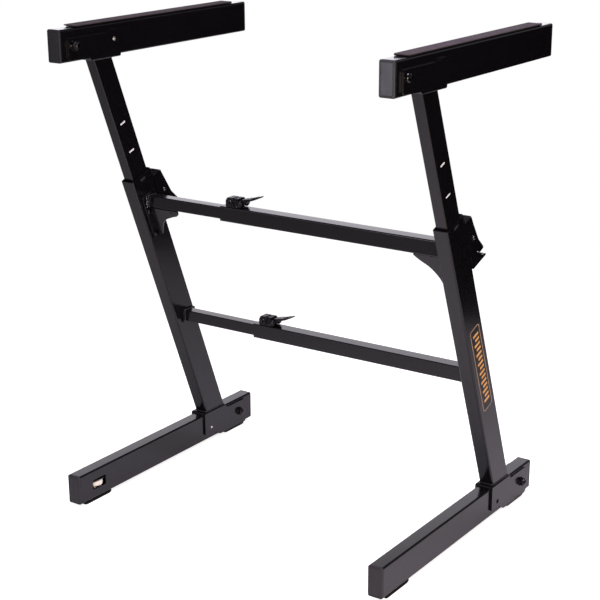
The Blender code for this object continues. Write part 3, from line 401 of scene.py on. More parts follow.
def addPiece(node, part, mesh, finish, stands=True, edge=0.0, sharp=38, stem=None):
    # Name, shade, finish and mount one piece; edge rounds its corners by that many millimetres
    mesh.name = (stem or node) + "_" + part
    piece = addObject(mesh.name, mesh)
    mesh.shade_smooth()
    if edge:
        bevel = piece.modifiers.new("softEdges", "BEVEL")
        bevel.width = edge * mm
        bevel.segments = 3
        bevel.limit_method = "ANGLE"
        bevel.angle_limit = radians(sharp)
        piece.modifiers.new("evenNormals", "WEIGHTED_NORMAL").keep_sharp = True
    else:
        mesh.set_sharp_from_angle(angle=radians(sharp))
    mesh.materials.clear()
    mesh.materials.append(finishes[finish])
    mount(piece, node, stands)
    return piece


def makeTube(node, u, half, v0, v1, size, low, high, plane, tools=()):
    # A welded steel tube's section between v0 and v1, carved where tools are given
    wall = size["wall"]
    outer = centred(u, half, v0, v1, size["corner"], size["arc"])
    inner = centred(u, half - wall, v0 + wall, v1 - wall, size["bore"], size["arc"])
    mesh = tube(outer, inner, low, high, plane)
    addPiece(node, "tube", carved(mesh, tools) if tools else mesh, "powderCoat", edge=size["rim"])


# Tubes of the feet and arms, and the holes for what crosses them
beam = {"width": 25.0, "height": 50.0, "wall": 2.0, "corner": 3.0, "bore": 1.0, "arc": 8, "rim": 0.35}
hinge = {"bolt": 8.0, "play": 0.25, "button": 6.4, "buttonPlay": 0.4, "wallReach": 4.0}
halfBeam = beam["width"] / 2
plateInside = halfBeam + gap
bracketFace = plateInside + layout["plate"]
boltHole = hinge["bolt"] / 2 + hinge["play"]
buttonHole = hinge["button"] / 2 + hinge["buttonPlay"]


def makeFoldingBeam(stem, midX, front, rear, z0, pivot, spot, inward, boltSide, cutters=()):
    # A foot or an arm: its tube, with the bolt's hole right through and the button's in one wall, and its
    # end caps, snap button and hinge bolt
    face = midX + inward * halfBeam
    reach = hinge["wallReach"]
    tools = [drill(midX, pivot, boltHole), rod(face - reach, face + reach, spot, buttonHole), *cutters]
    makeTube(stem + "beam", midX, halfBeam, z0, z0 + beam["height"], beam, front + capSeam, rear - capSeam,
             "front", tools)
    makeEndCap(stem + "front_cap", midX, front, -1, z0)
    makeEndCap(stem + "rear_cap", midX, rear, 1, z0)
    makeButton(stem + "button", midX, spot, inward)
    makeBolt(stem + "pivot_bolt", midX, pivot, boltSide)


# End caps: a crowned face inside a rounded rim, and the plug that holds it in the tube
endCap = {"flange": 3.4, "plug": 12.0, "seat": 2.35,
          "face": ((0.0, 1.7), (0.12, 1.0), (0.45, 0.45), (0.95, 0.12), (1.6, 0.0), (2.2, 0.02),
                   (2.45, 0.34), (2.8, 0.4), (3.1, 0.16), (3.7, 0.06), (5.5, 0.0), (8.0, -0.04))}
capSeam = endCap["flange"] + gap


def makeEndCap(node, midX, yEnd, outward, z0):
    # Each ring is the tube's outline drawn in by an inset, at a depth behind the face
    rings = []
    flange = endCap["flange"]
    seat = endCap["seat"]
    plugEnd = flange + endCap["plug"]
    profile = [(seat + 0.5, plugEnd), (seat, plugEnd - 1), (seat, flange), (0.0, flange)]
    for inset, depth in profile + list(endCap["face"]):
        radius = max(beam["corner"] - inset, 0.6)
        loop = centred(midX, halfBeam - inset, z0 + inset, z0 + beam["height"] - inset, radius, 6)
        rings.append([(u, v, yEnd - outward * max(depth, 0.0)) for u, v in loop])
    addPiece(node, "moulding", toMesh(loft(rings), "front"), "mouldedCap", sharp=50)


# Hinge bolts: button head with a hexagon socket, washer, lock nut and the thread's end
boltSize = {"shank": 7.5, "head": 13.6, "headDepth": 4.25, "headRim": 0.9, "socket": 5.0, "socketDepth": 2.4,
            "tail": 9.5, "pitch": 1.25, "threadDepth": 0.32, "nutFlats": 12.9, "nut": 7.25,
            "washer": 16.2, "washerDepth": 1.1}


def makeBolt(node, midX, pivot, headSide):
    v = boltSize
    seat = bracketFace + gap
    tail = -(bracketFace + v["tail"])
    radius = v["shank"] / 2
    head = v["head"] / 2
    rim = v["headRim"]
    profile = [(tail, radius - 1.0), (tail + 0.25, radius - 0.75), (tail + 0.9, radius - 0.1)]
    profile += threadRun(tail + 1.0, 2 - seat, radius, v["threadDepth"], v["pitch"])
    profile += [(2.2 - seat, radius), (seat - 0.05, radius), (seat, head - 0.3), (seat + 0.25, head)]
    crown = head - v["socket"] / 2 - rim
    rise = v["headDepth"] - rim
    for step in range(7):
        angle = radians(15 * step)
        profile.append((seat + rim + rise * sin(angle), head - crown * (1 - cos(angle))))
    top = seat + v["headDepth"]
    profile += [(top, v["socket"] / 2 + 0.5), (top - 0.3, hexagon(v["socket"])),
                (top - v["socketDepth"], hexagon(v["socket"]))]
    addPiece(node, "screw", turned(placed(profile, midX, headSide), pivot, "X", 48), "blackZinc", sharp=42)

    flats = v["nutFlats"]
    half = flats / 2
    low = seat + v["washerDepth"]
    high = seat + v["nut"]
    corner = half / cos(pi / 6)
    profile = [(low, hexagon(flats, half - 0.1)), (low + 0.5, hexagon(flats, corner - 0.25)),
               (low + 0.8, hexagon(flats)), (high - 2.2, hexagon(flats)),
               (high - 1.8, hexagon(flats, corner - 0.3)), (high - 1.3, hexagon(flats, half - 0.2)),
               (high - 1.2, half - 0.75), (high - 0.4, half - 0.95), (high - 0.1, half - 1.3),
               (high, half - 1.9), (high, radius)]
    mesh = turned(placed(profile, midX, -headSide), pivot, "X", 48)
    addPiece(node, "nut", mesh, "blackZinc", stands=False, sharp=32)
    edge = v["washer"] / 2
    profile = [(seat, edge - 0.2), (seat + 0.2, edge), (low - 0.25, edge), (low, edge - 0.25), (low, radius)]
    mesh = turned(placed(profile, midX, -headSide), pivot, "X", 48)
    addPiece(node, "washer", mesh, "blackZinc", stands=False)


# Snap buttons: the domed pin that locks a folding beam, out through its bracket's hole
buttonSize = {"radius": 3.5, "proud": 0.64, "dome": 2.9, "collar": 4.8, "reach": 9.0}


def makeButton(node, midX, spot, side):
    v = buttonSize
    radius = v["radius"]
    tip = gap + layout["plate"] + v["proud"]
    inside = -(beam["wall"] + hinge["buttonPlay"])
    profile = [(-v["reach"], radius - 0.3), (-v["reach"] + 0.3, radius), (inside - 2.0, radius),
               (inside - 1.9, v["collar"]), (inside, v["collar"]), (inside + 0.1, radius)]
    for step in range(8):
        angle = radians(12 * step)
        profile.append((tip - v["dome"] * (1 - sin(angle)), radius * cos(angle)))
    mesh = turned(placed(profile, midX + side * halfBeam, side), spot)
    addPiece(node, "pin", mesh, "satinNickel", sharp=45)


# Folded brackets: a flat outline cut from sheet, pressed into a U with round bends
fold = {"bend": 2.2, "edge": 0.45}


def makeFoldedPlate(node, outline, midX, webOutside, webInside, opening, pivot, spot):
    outer = bracketFace
    bend = fold["bend"]
    up = 1 if webOutside > opening else -1
    section = [(midX - outer, opening)]
    for side in (-1, 1):
        for step in range(9):
            angle = radians(11.25 * (step if side < 0 else 8 - step))
            across = outer - bend * (1 - cos(angle))
            section.append((midX + side * across, webOutside - up * bend * (1 - sin(angle))))
    section += [(midX + outer, opening), (midX + plateInside, opening), (midX + plateInside, webInside),
                (midX - plateInside, webInside), (midX - plateInside, opening)]
    reach = [u for u, v in outline]
    bent = prism(section, min(reach) - 5, max(reach) + 5, "front")
    mesh = carved(slab(outline, midX, outer + 1), [bent], "INTERSECT")
    mesh = carved(mesh, [drill(midX, pivot, boltHole), drill(midX, spot, buttonHole)])
    addPiece(node, "plate", mesh, "powderCoat", edge=fold["edge"])


weld = {"step": 1.3, "ripple": 0.09, "ripplePitch": 4.2, "waver": 0.04, "waverRun": 1.7, "sides": 10}


def weldBead(node, path, normal, radius):
    # A rippled bead along a closed flat path, under the powder coat
    points = []
    for index in range(len(path)):
        start = Vector(path[index])
        end = Vector(path[(index + 1) % len(path)])
        count = max(1, ceil((end - start).length / weld["step"]))
        points += [start.lerp(end, step / count) for step in range(count)]
    rings = []
    travelled = 0.0
    for index, point in enumerate(points):
        ahead = points[(index + 1) % len(points)]
        along = (ahead - points[index - 1]).normalized()
        outward = along.cross(Vector(normal))
        ripple = weld["ripple"] * sin(2 * pi * travelled / weld["ripplePitch"])
        swell = radius * (1 + ripple + weld["waver"] * sin(travelled / weld["waverRun"]))
        rings.append([point + (outward * u + Vector(normal) * v) * swell for u, v in circle(weld["sides"])])
        travelled += (ahead - point).length
    # The beads' finish is lighter than the coat round them: painted sheen
    addPiece(node, "weld", toMesh(loft(rings, closed=True)), "coatedWeld", stands=False, sharp=180)


# Feet
foot = {"pivotFromRear": 40.8, "pivotUp": 25.7, "buttonFromRear": 125.8, "buttonUp": 21.7,
        "frontPad": (12.0, 80.0), "rearPadFromRear": (85.8, 23.8), "padInset": 1.2, "rearPadInset": -0.1,
        "treads": 5, "treadHalf": 1.2, "treadDepth": 1.1, "screwClear": 7.9, "screwRoom": 12.0,
        "screwHole": 4.4, "wheelBack": 49.5, "windowLength": 32.0, "windowUp": 15.7, "windowHeight": 17.0}
footPivot = (footLength - foot["pivotFromRear"], footZ + foot["pivotUp"])
footButton = (footLength - foot["buttonFromRear"], footZ + foot["buttonUp"])


def makeFootPad(node, midX, inset, start, end, screwY):
    # A rubber runner with tread grooves, holed where the levelling screw comes down
    top = footZ - gap
    profile = [(start, top), (start + 1.5, 1.4), (start + 6, 0), (end - 6, 0), (end - 1.5, 1.4), (end, top)]
    half = halfBeam - inset
    tools = []
    for index in range(foot["treads"]):
        y = start + (end - start) * (index + 1) / (foot["treads"] + 1)
        if not (screwY and abs(y - screwY) < foot["screwRoom"]):
            tools.append(slab(centred(y, foot["treadHalf"], -1, foot["treadDepth"], 0.6, 3), midX, half - 2))
    if screwY:
        tools.append(rod(-1, footZ + 1, (midX, screwY), foot["screwClear"], "Z"))
    mesh = carved(slab(softened(profile, 1.2), midX, half), tools)
    addPiece(node, "rubber", mesh, "footRubber", edge=0.5)


def makeFoot(tag, midX, inward):
    # The left foot has a window for the levelling wheel and a hole for its screw
    low = footZ + foot["windowUp"]
    wheelY = None
    cutters = []
    if tag == "left":
        wheelY = foot["wheelBack"]
        window = centred(wheelY, foot["windowLength"] / 2, low, low + foot["windowHeight"], 2.0, 4)
        cutters = [slab(window, midX), rod(footZ - 1, footZ + 3, (midX, wheelY), foot["screwHole"], "Z")]
    stem = tag + "_foot_"
    makeFoldingBeam(stem, midX, 0.0, footLength, footZ, footPivot, footButton, inward, -1, cutters)
    rear = [footLength - back for back in foot["rearPadFromRear"]]
    makeFootPad(stem + "front_pad", midX, foot["padInset"], *foot["frontPad"], wheelY)
    makeFootPad(stem + "rear_pad", midX, foot["rearPadInset"], *rear, None)


# Uprights
upright = {"outerWidth": 25.0, "outerDepth": 50.0, "innerWidth": 19.0, "innerDepth": 40.0,
           "outer": {"wall": 2.0, "corner": 3.0, "bore": 1.0, "arc": 8, "rim": 0.4},
           "inner": {"wall": 2.0, "corner": 2.5, "bore": 0.8, "arc": 8, "rim": 0.3},
           "mouth": 556.0, "innerLength": 507.9,
           "tongueBelow": 26.5, "tongue": 3.0, "tongueWidth": 11.2, "slots": 7, "slotPitch": 51.5,
           "slotLength": 12.8, "slotHeight": 3.0, "slotCorner": 1.2, "slotAhead": 1.5,
           "slotBelowHead": 122.7, "bushBelow": 18.5, "bushLength": 14.0,
           "latchSlot": {"side": 1.9, "below": 3.6, "above": 6.4}, "rackSlot": {"side": 1.2, "end": 1.9},
           "guideSlot": (-9.4, -6.0, -5.2, 7.5), "nub": (-9.0, -5.6, -5.6, 7.1)}
mouthS = upright["mouth"]
outerDepth = upright["outerDepth"]
halfOuter = upright["outerWidth"] / 2
halfInner = upright["innerWidth"] / 2
tubeMiddle = outerDepth / 2
innerFront = tubeMiddle - upright["innerDepth"] / 2
innerRear = tubeMiddle + upright["innerDepth"] / 2
armWebZ = armZ - gap - layout["plate"]
headS = alongTo(armWebZ, innerFront)
headY = crossingY(armWebZ, innerFront)
tongueAt = mouthS - upright["tongueBelow"]

lowerBracket = {"web": 3.5, "ahead": 8.2, "behind": 1.7, "rear": 20.8, "notchStart": 28.0,
                "notchEnd": 42.0, "notchUp": 10.5, "foot": 0.6}


def atMouth(outline):
    # An outline drawn from the middle of the outer tube's mouth
    return onTube(shifted(outline, mouthS, tubeMiddle))


def tubeBox(midX, half, d0, d1, s0, s1):
    # A cutter squared to the leaning tube, its long sides rounded
    return prism(centred(midX, half, d0, d1, 0.5, 3), s0, s1, "tube")


def tubeWeld(node, midX, half, front, rear, corner, seam, lift, radius):
    # A bead round an upright where it meets a bracket's web
    path = centred(midX, half, crossingY(seam, front), crossingY(seam, rear), corner, 5)
    weldBead(node, [(u, v, seam + lift) for u, v in path], (0, 0, 1), radius)


def makeLowerBracket(tag, midX):
    v = lowerBracket
    webInside = footZ + beam["height"] + gap
    webTop = webInside + v["web"]
    seat = webTop + gap
    front = crossingY(seat, 0) - v["ahead"]
    rear = crossingY(seat, outerDepth) + v["behind"]
    back = footLength - v["rear"]
    low = footZ + v["foot"]
    outline = [(front, footZ + v["notchUp"]), (front + v["notchStart"], footZ + v["notchUp"]),
               (front + v["notchEnd"], low), (back - 4, low), (back, footZ + 6), (back, footZ + 42.7),
               (back - 4, footZ + 46), (rear + 11.5, footZ + 46), (rear, footZ + 47.2),
               (rear, webTop), (front, webTop)]
    node = tag + "_lower_bracket"
    makeFoldedPlate(node, softened(outline, 5.0), midX, webTop, webInside, footZ, footPivot, footButton)
    tubeWeld(node, midX, halfOuter, 0, outerDepth, upright["outer"]["corner"], seat, 0.3 - gap, 1.3)
    return seat


def makeOuterUpright(tag, midX, seat):
    v = upright
    wall = v["outer"]["wall"]
    levelY = crossingY(seat, tubeMiddle)
    level = slab(rounded(levelY - 100, seat - 100, levelY + 130, seat, 1, 1), midX)
    slot = v["latchSlot"]
    latchSlot = tubeBox(midX, v["tongueWidth"] / 2 + slot["side"], outerDepth - 2.5 * wall, outerDepth + 3,
                        tongueAt - slot["below"], tongueAt + slot["above"])
    guide = atMouth(rounded(*v["guideSlot"], 2.0, 4))
    makeTube(tag + "_upright_outer", midX, halfOuter, 0, outerDepth, v["outer"], 20, mouthS, "tube",
             [level, latchSlot, slab(guide, midX)])

    # Guide bush round the inner tube, its two nubs snapped into the side slots
    low = mouthS - v["bushBelow"]
    reach = wall + 0.2
    bush = centred(midX, halfOuter - reach, reach, outerDepth - reach, 0.9, 6)
    bore = centred(midX, halfInner + 0.25, innerFront - 0.25, innerRear + 0.25, v["inner"]["corner"], 6)
    node = tag + "_guide_bush"
    addPiece(node, "sleeve", tube(bush, bore, low, low + v["bushLength"], "tube"), "guideNylon")
    nub = atMouth(rounded(*v["nub"], 1.6, 4))
    for label, side in (("inner", -1), ("outer", 1)):
        ends = sorted((midX + side * (halfOuter - reach - 0.3), midX + side * (halfOuter - 0.3)))
        addPiece(node, label + "_nub", prism(nub, *ends), "guideNylon", stands=False, edge=0.3)


def makeInnerUpright(tag, midX):
    v = upright
    top = armWebZ - gap
    tools = [slab(rounded(headY - 80, top, headY + 150, top + 200, 1, 1), midX)]
    middle = tubeMiddle - v["slotAhead"]
    half = v["slotLength"] / 2
    for index in range(v["slots"]):
        s = headS - v["slotBelowHead"] - v["slotPitch"] * index
        slot = centred(s, v["slotHeight"] / 2, middle - half, middle + half, v["slotCorner"], 4)
        tools.append(slab(onTube(slot), midX))
    half = v["tongueWidth"] / 2 + v["rackSlot"]["side"]
    halfHeight = v["tongue"] / 2 + v["rackSlot"]["end"]
    for index in range(v["slots"]):
        s = tongueAt + v["slotPitch"] * (2 - index)
        tools.append(tubeBox(midX, half, innerRear - v["inner"]["wall"] - 1, innerRear + 2, s - halfHeight,
                             s + halfHeight))
    makeTube(tag + "_upright_inner", midX, halfInner, innerFront, innerRear, v["inner"],
             headS - v["innerLength"], headS + 20, "tube", tools)
    rack = nodes[tag + "_height_rack"]
    rack.data.materials.clear()
    rack.data.materials.append(finishes["whiteEnamel"])


# Squeeze latch: outlines are distances above the mouth and behind the tube's rear face
latch = {"shell": ((-99.0, 0.35), (-99.7, 40.4), (-98.8, 43.0), (-96.6, 41.6), (-92.5, 31.5), (-81.0, 19.8),
                   (-76.5, 21.0), (-72.0, 27.5), (-56.0, 26.6), (-16.8, 20.0), (-16.8, 0.35)),
         "lever": ((-17.5, 5.0), (-17.5, 22.8), (-66.2, 33.2), (-84.8, 43.0), (-87.7, 42.2), (-88.4, 30.4),
                   (-79.2, 23.0), (-72.0, 12.5), (-56.0, 8.0), (-36.0, 5.0)),
         "hollow": ((-19.3, -10.0), (-19.3, 21.0), (-66.6, 31.1), (-84.0, 40.2), (-101.0, 49.0),
                    (-101.0, -10.0)),
         "housingPlate": 2.0, "leverPlate": 1.8, "play": 0.4, "pivotBelow": 51.7, "pivotBehind": 16.0,
         "pin": 5.0, "rivet": 8.8, "wire": 1.1, "turns": 4, "space": 0.75, "legs": (7.5, 8.5),
         "room": (-97.0, -11.0, 49.0), "mouth": (-42.0, -11.0, 10.0), "tongueBack": (24.0, 24.4)}


def atLatch(outline):
    return onTube(shifted(outline, mouthS, outerDepth))


def makeLatch(tag, midX):
    v = latch
    pivotS = mouthS - v["pivotBelow"]
    pivotD = outerDepth + v["pivotBehind"]
    pivot = onUpright(pivotS, pivotD)
    hole = drill(midX, pivot, v["pin"] / 2 + 0.25)
    inside = halfOuter - v["housingPlate"]
    base = gap + v["housingPlate"]
    tools = [hole]
    for (low, high, back), front in ((v["mouth"], -1.0), (v["room"], base)):
        tools.insert(0, slab(atLatch([(low, front), (low, back), (high, back), (high, front)]), midX, inside))
    mesh = carved(slab(atLatch(softened(v["shell"], 3.0)), midX, halfOuter), tools)
    addPiece(tag + "_latch_housing", "shell", mesh, "powderCoat", edge=0.4)

    # Lever: a channel closed over its top, with the locking tongue inside
    cheek = inside - v["play"]
    mesh = carved(slab(atLatch(softened(v["lever"], 2.0)), midX, cheek),
                  [slab(atLatch(v["hollow"]), midX, cheek - v["leverPlate"])])
    tip = innerRear + 0.5
    low = tongueAt - upright["tongue"] / 2
    high = tongueAt + upright["tongue"] / 2
    upper, lower = (outerDepth + back for back in v["tongueBack"])
    tongue = onTube([(low, tip), (high, tip), (high, upper), (low, lower)])
    mesh = carved(mesh, [slab(tongue, midX, upright["tongueWidth"] / 2)], "UNION")
    mesh = carved(mesh, [hole])
    addPiece(tag + "_release_lever", "channel", mesh, "powderCoat", edge=0.35)

    # Rivet: a dark washer under a bright turned head at each end
    outside = halfOuter + 0.3
    half = v["pin"] / 2
    node = tag + "_lever_pin"
    head = [(0.0, half), (0.05, half + 0.5), (0.7, half + 0.5), (1.2, half + 0.2), (1.55, half - 0.5),
            (1.68, half - 1.2), (1.72, 0.3)]
    addPiece(node, "rivet", turned(twoHeads(head, midX, outside), pivot), "zincRivet", sharp=50)
    edge = v["rivet"] / 2
    ring = [(0.0, half), (0.0, edge), (0.35, edge + 0.1), (0.75, edge - 0.1), (0.85, edge - 0.6), (0.6, half)]
    for label, side in (("inner", -1), ("outer", 1)):
        mesh = turned(placed(ring, midX + side * (outside - 0.25), side), pivot, closed=True)
        addPiece(node, label + "_washer", mesh, "blackZinc", stands=False, sharp=50)

    makeSpring(tag + "_lever_spring", midX, pivotS, pivotD)


def makeSpring(node, midX, pivotS, pivotD):
    # A torsion spring round the rivet, one leg on the base and the other behind the lever
    v = latch
    coil = v["pin"] / 2 + 0.25 + v["wire"] / 2 + 0.15
    lead = v["wire"] + v["space"]
    start = radians(200)
    path = []
    for step in range(v["turns"] * 24 + 1):
        angle = start + 2 * pi * step / 24
        x = midX - lead * v["turns"] / 2 + lead * step / 24
        path.append((x, pivotS + coil * sin(angle), pivotD + coil * cos(angle)))
    first, last = path[0], path[-1]
    lower, upper = v["legs"]
    path.insert(0, (first[0], first[1] - lower * cos(start), first[2] + lower * sin(start)))
    path.append((last[0], last[1] + upper * cos(start), last[2] - upper * sin(start)))
    curve = bpy.data.curves.new("spring", "CURVE")
    curve.dimensions = "3D"
    curve.bevel_depth = v["wire"] / 2 * mm
    curve.bevel_resolution = 4
    curve.use_fill_caps = True
    spline = curve.splines.new("POLY")
    spline.points.add(len(path) - 1)
    for point, (x, s, d) in zip(spline.points, path):
        point.co = (*(toFrame @ Vector((x, *onUpright(s, d)))), 1)
    spline.use_smooth = True
    curve.materials.append(finishes["nickel"])
    mount(addObject(node + "_wire", curve), node, True)


# Arms
arm = {"pivotBack": 27.4, "buttonBack": 121.0, "holeUp": 24.8, "headBehind": 14.5, "padBack": 37.0,
       "padLength": 396.5, "padInset": 0.4, "padHeight": 3.6, "ribs": 5, "ribDepth": 0.8, "lip": 1.9,
       "undercut": 0.2, "overhang": {"left": 4.5, "right": 0.4},
       "ends": ((0.0, 0.75, 0.3), (0.3, 0.3, 0.1), (0.9, 0.0, 0.0))}
armFront = headY - layout["armAhead"]
armPivot = (armFront + arm["pivotBack"], armZ + arm["holeUp"])
armButton = (armFront + arm["buttonBack"], armZ + arm["holeUp"])


def makeArmBracket(tag, midX):
    rear = headY + upright["innerDepth"] / sinLean + arm["headBehind"]
    outline = [(headY - 61.1, armZ + 5.8), (headY - 59.1, armZ + 3.8), (headY - 28.1, armZ + 1.8),
               (headY - 15.1, armZ + 2.2), (headY - 10.6, armWebZ), (rear - 0.5, armWebZ),
               (rear, armZ + 39.6), (rear - 21, armZ + 40), (rear - 26, armZ + 35.8),
               (headY - 59.1, armZ + 35.8), (headY - 61.1, armZ + 33.8)]
    node = tag + "_arm_bracket"
    makeFoldedPlate(node, softened(outline, 3.0), midX, armWebZ, armZ - gap, armZ + beam["height"],
                    armPivot, armButton)
    tubeWeld(node, midX, halfInner, innerFront, innerRear, upright["inner"]["corner"], armWebZ - 0.3, 0, 1.2)


def makeArmPad(tag, midX):
    # A ribbed rubber tread on a narrower, shorter strip; each end is (back, drop, inset)
    v = arm
    node = tag + "_arm_pad"
    seat = armZ + beam["height"] + gap
    crest = seat + v["padHeight"]
    low = crest - v["lip"]
    start = armFront + v["padBack"]
    end = start + v["padLength"]
    half = halfBeam - v["padInset"]
    strip = centred(midX, half - v["undercut"], seat, low + 0.1, 0.4, 3)
    base = addPiece(node, "strip", prism(strip, start + v["overhang"][tag], end - 0.4, "front"),
                    "footRubber", stands=False, edge=0.25)
    count = v["ribs"] * 12
    top = []
    for index in range(count + 1):
        u = half - 2 * half * index / count
        wave = 0.5 - 0.5 * cos(pi * v["ribs"] * (u + half) / half)
        top.append((u, -v["ribDepth"] * (1 - wave ** 0.45)))
    stations = [(start + back, drop, inset) for back, drop, inset in v["ends"]]
    stations += [(end - back, drop, inset) for back, drop, inset in v["ends"][::-1]]
    rings = []
    for y, drop, inset in stations:
        side = half - inset
        ring = [(midX - side, low + 0.15, y), (midX - side + 0.4, low, y),
                (midX + side - 0.4, low, y), (midX + side, low + 0.15, y)]
        ring += [(midX + u * side / half, crest - drop + dip, y) for u, dip in top]
        rings.append(ring)
    tread = addPiece(node, "tread", toMesh(loft(rings), "front"), "armRubber", sharp=60)


def makeArm(tag, midX, inward):
    rear = armFront + layout["armLength"]
    makeFoldingBeam(tag + "_arm_", midX, armFront, rear, armZ, armPivot, armButton, inward, -inward)
    makeArmBracket(tag, midX)
    makeArmPad(tag, midX)


for tag, midX, inward in (("left", -halfSpacing, 1), ("right", halfSpacing, -1)):
    makeFoot(tag, midX, inward)
    uprightSeat = makeLowerBracket(tag, midX)
    makeOuterUpright(tag, midX, uprightSeat)
    makeInnerUpright(tag, midX)
    makeLatch(tag, midX)
    makeArm(tag, midX, inward)
    print(tag, "side frame ready")


# Crossbars: the inner bar is fixed to the left upright, the outer bar to the right one
crossbar = {"inner": {"size": 19.4, "wall": 1.5, "corner": 1.6, "bore": 0.4, "arc": 6, "rim": 0.25},
            "outer": {"size": 24.6, "wall": 2.0, "corner": 2.0, "bore": 0.5, "arc": 6, "rim": 0.3},
            "outerLeft": -127.0, "overlap": 300.0, "endPlate": 3.0, "behind": 28.3,
            "upperBelow": 49.9, "lowerAt": 268.8, "bead": 1.1, "beadIn": 0.3,
            "upperPlate": ((-64.6, -19.8), (-64.6, -2.3), (-51.1, 8.7), (11.9, 13.7), (16.9, 9.7),
                           (16.9, -18.3), (12.9, -20.8), (-57.1, -21.3)),
            "lowerPlate": ((-13, -13.5), (19, -13.5), (19, 11), (-13, 11)),
            "screwsBelow": (-56.1, -13.1), "screwsAhead": 16.1}
barS = mouthS - crossbar["upperBelow"]
leftFace = halfOuter + gap - halfSpacing
rightFace = halfSpacing - halfOuter - gap
plateFace = leftFace + crossbar["endPlate"]
upperAxis = onUpright(barS, crossbar["behind"])
lowerAxis = onUpright(crossbar["lowerAt"], crossbar["behind"])


def makeBar(node, axis, bar, x0, x1, seam):
    # A square bar, and the bead round it where it meets its plate or upright
    half = bar["size"] / 2
    makeTube(node, axis[0], half, axis[1] - half, axis[1] + half, bar, x0, x1, "side")
    path = [(seam, y, z) for y, z in around(axis, half, bar["corner"], 4)]
    weldBead(node, path, (1, 0, 0), crossbar["bead"])


def makeCrossbar(tag, axis):
    v = crossbar
    half = v["inner"]["size"] / 2
    node = tag + "_inner_bar"
    makeBar(node, axis, v["inner"], leftFace, v["outerLeft"] + v["overlap"], plateFace + v["beadIn"])
    makeBar(tag + "_outer_bar", axis, v["outer"], v["outerLeft"], rightFace, rightFace - v["beadIn"])
    if tag == "upper":
        outline = onTube(shifted(softened(v["upperPlate"], 5.0), barS, v["behind"]))
    else:
        outline = shifted(softened(v["lowerPlate"], 4.0), *axis)
    hole = prism(around(axis, half - 0.4, 1.2), leftFace - 2, plateFace + 2)
    mesh = carved(prism(outline, leftFace, plateFace), [hole])
    addPiece(node, "end_plate", mesh, "powderCoat", stands=False, edge=0.4)
    if tag == "upper":
        makeScrews(node)
        makeFillet(node, axis, half)


def makeScrews(node):
    v = crossbar
    profile = placed([(-0.4, 3.2), (0.7, 3.2), (1.5, 2.9), (2.1, 2.3), (2.4, 1.6), (2.35, hexagon(2.4)),
                      (1.0, hexagon(2.3))], plateFace)
    for index, below in enumerate(v["screwsBelow"]):
        spot = onUpright(barS + below, v["behind"] - v["screwsAhead"])
        name = "fixing_screw_%d" % (index + 1)
        addPiece(node, name, turned(profile, spot, "X", 36), "blackZinc", stands=False, sharp=45)


# The fillet in front of the upper bar is left with little coat, and its ripples shine
fillet = {"step": 0.45, "radius": 1.5, "ripple": 0.45, "ripplePitch": 4.6, "ahead": 4.2, "waver": 0.8,
          "waverPitch": 9.0, "sides": 12}


def makeFillet(node, axis, half):
    v = fillet
    rings = []
    for z in steps(axis[1] - half, axis[1] + half, v["step"]):
        turn = 2 * pi * (z - axis[1])
        swell = v["radius"] + v["ripple"] * sin(turn / v["ripplePitch"])
        y = axis[0] - half - v["ahead"] + v["waver"] * sin(turn / v["waverPitch"])
        rings.append([(plateFace + 0.1 + 0.7 * swell * a, y + swell * b, z) for a, b in circle(v["sides"])])
    addPiece(node, "fillet", toMesh(loft(rings)), "zincRivet", stands=False, sharp=60)


# Cam clamps: a split block on the outer bar, two ears that carry the pin, and a cam lever between them
clamp = {"back": 12.4, "length": 20.4, "span": 31.1, "depth": 24.6, "height": 14.4, "pin": 4.0, "pinUp": 7.0,
         "pinIn": 5.0, "ear": 3.6, "earIn": 0.9, "earRadius": 4.6, "leverWidth": 14.6, "pinHalf": 11.6,
         "screwBack": 8.6, "screwUp": 7.6, "screwRadius": 4.3, "slit": (15.2, 16.9, 2.2),
         "groove": (9.5, 13.5, 12.8), "grips": 3, "gripRadius": 0.75, "gripFrom": (20.0, 10.3),
         "gripStep": (3.6, 1.13),
         "handle": ((-3.6, -3.2), (-3.6, 3.2), (0.0, 6.4), (5.5, 7.6), (10.6, 8.8), (20.0, 10.2),
                    (34.0, 14.6), (34.8, 13.0), (24.0, 8.0), (14.0, 4.6), (6.4, 1.2), (3.4, -2.6))}


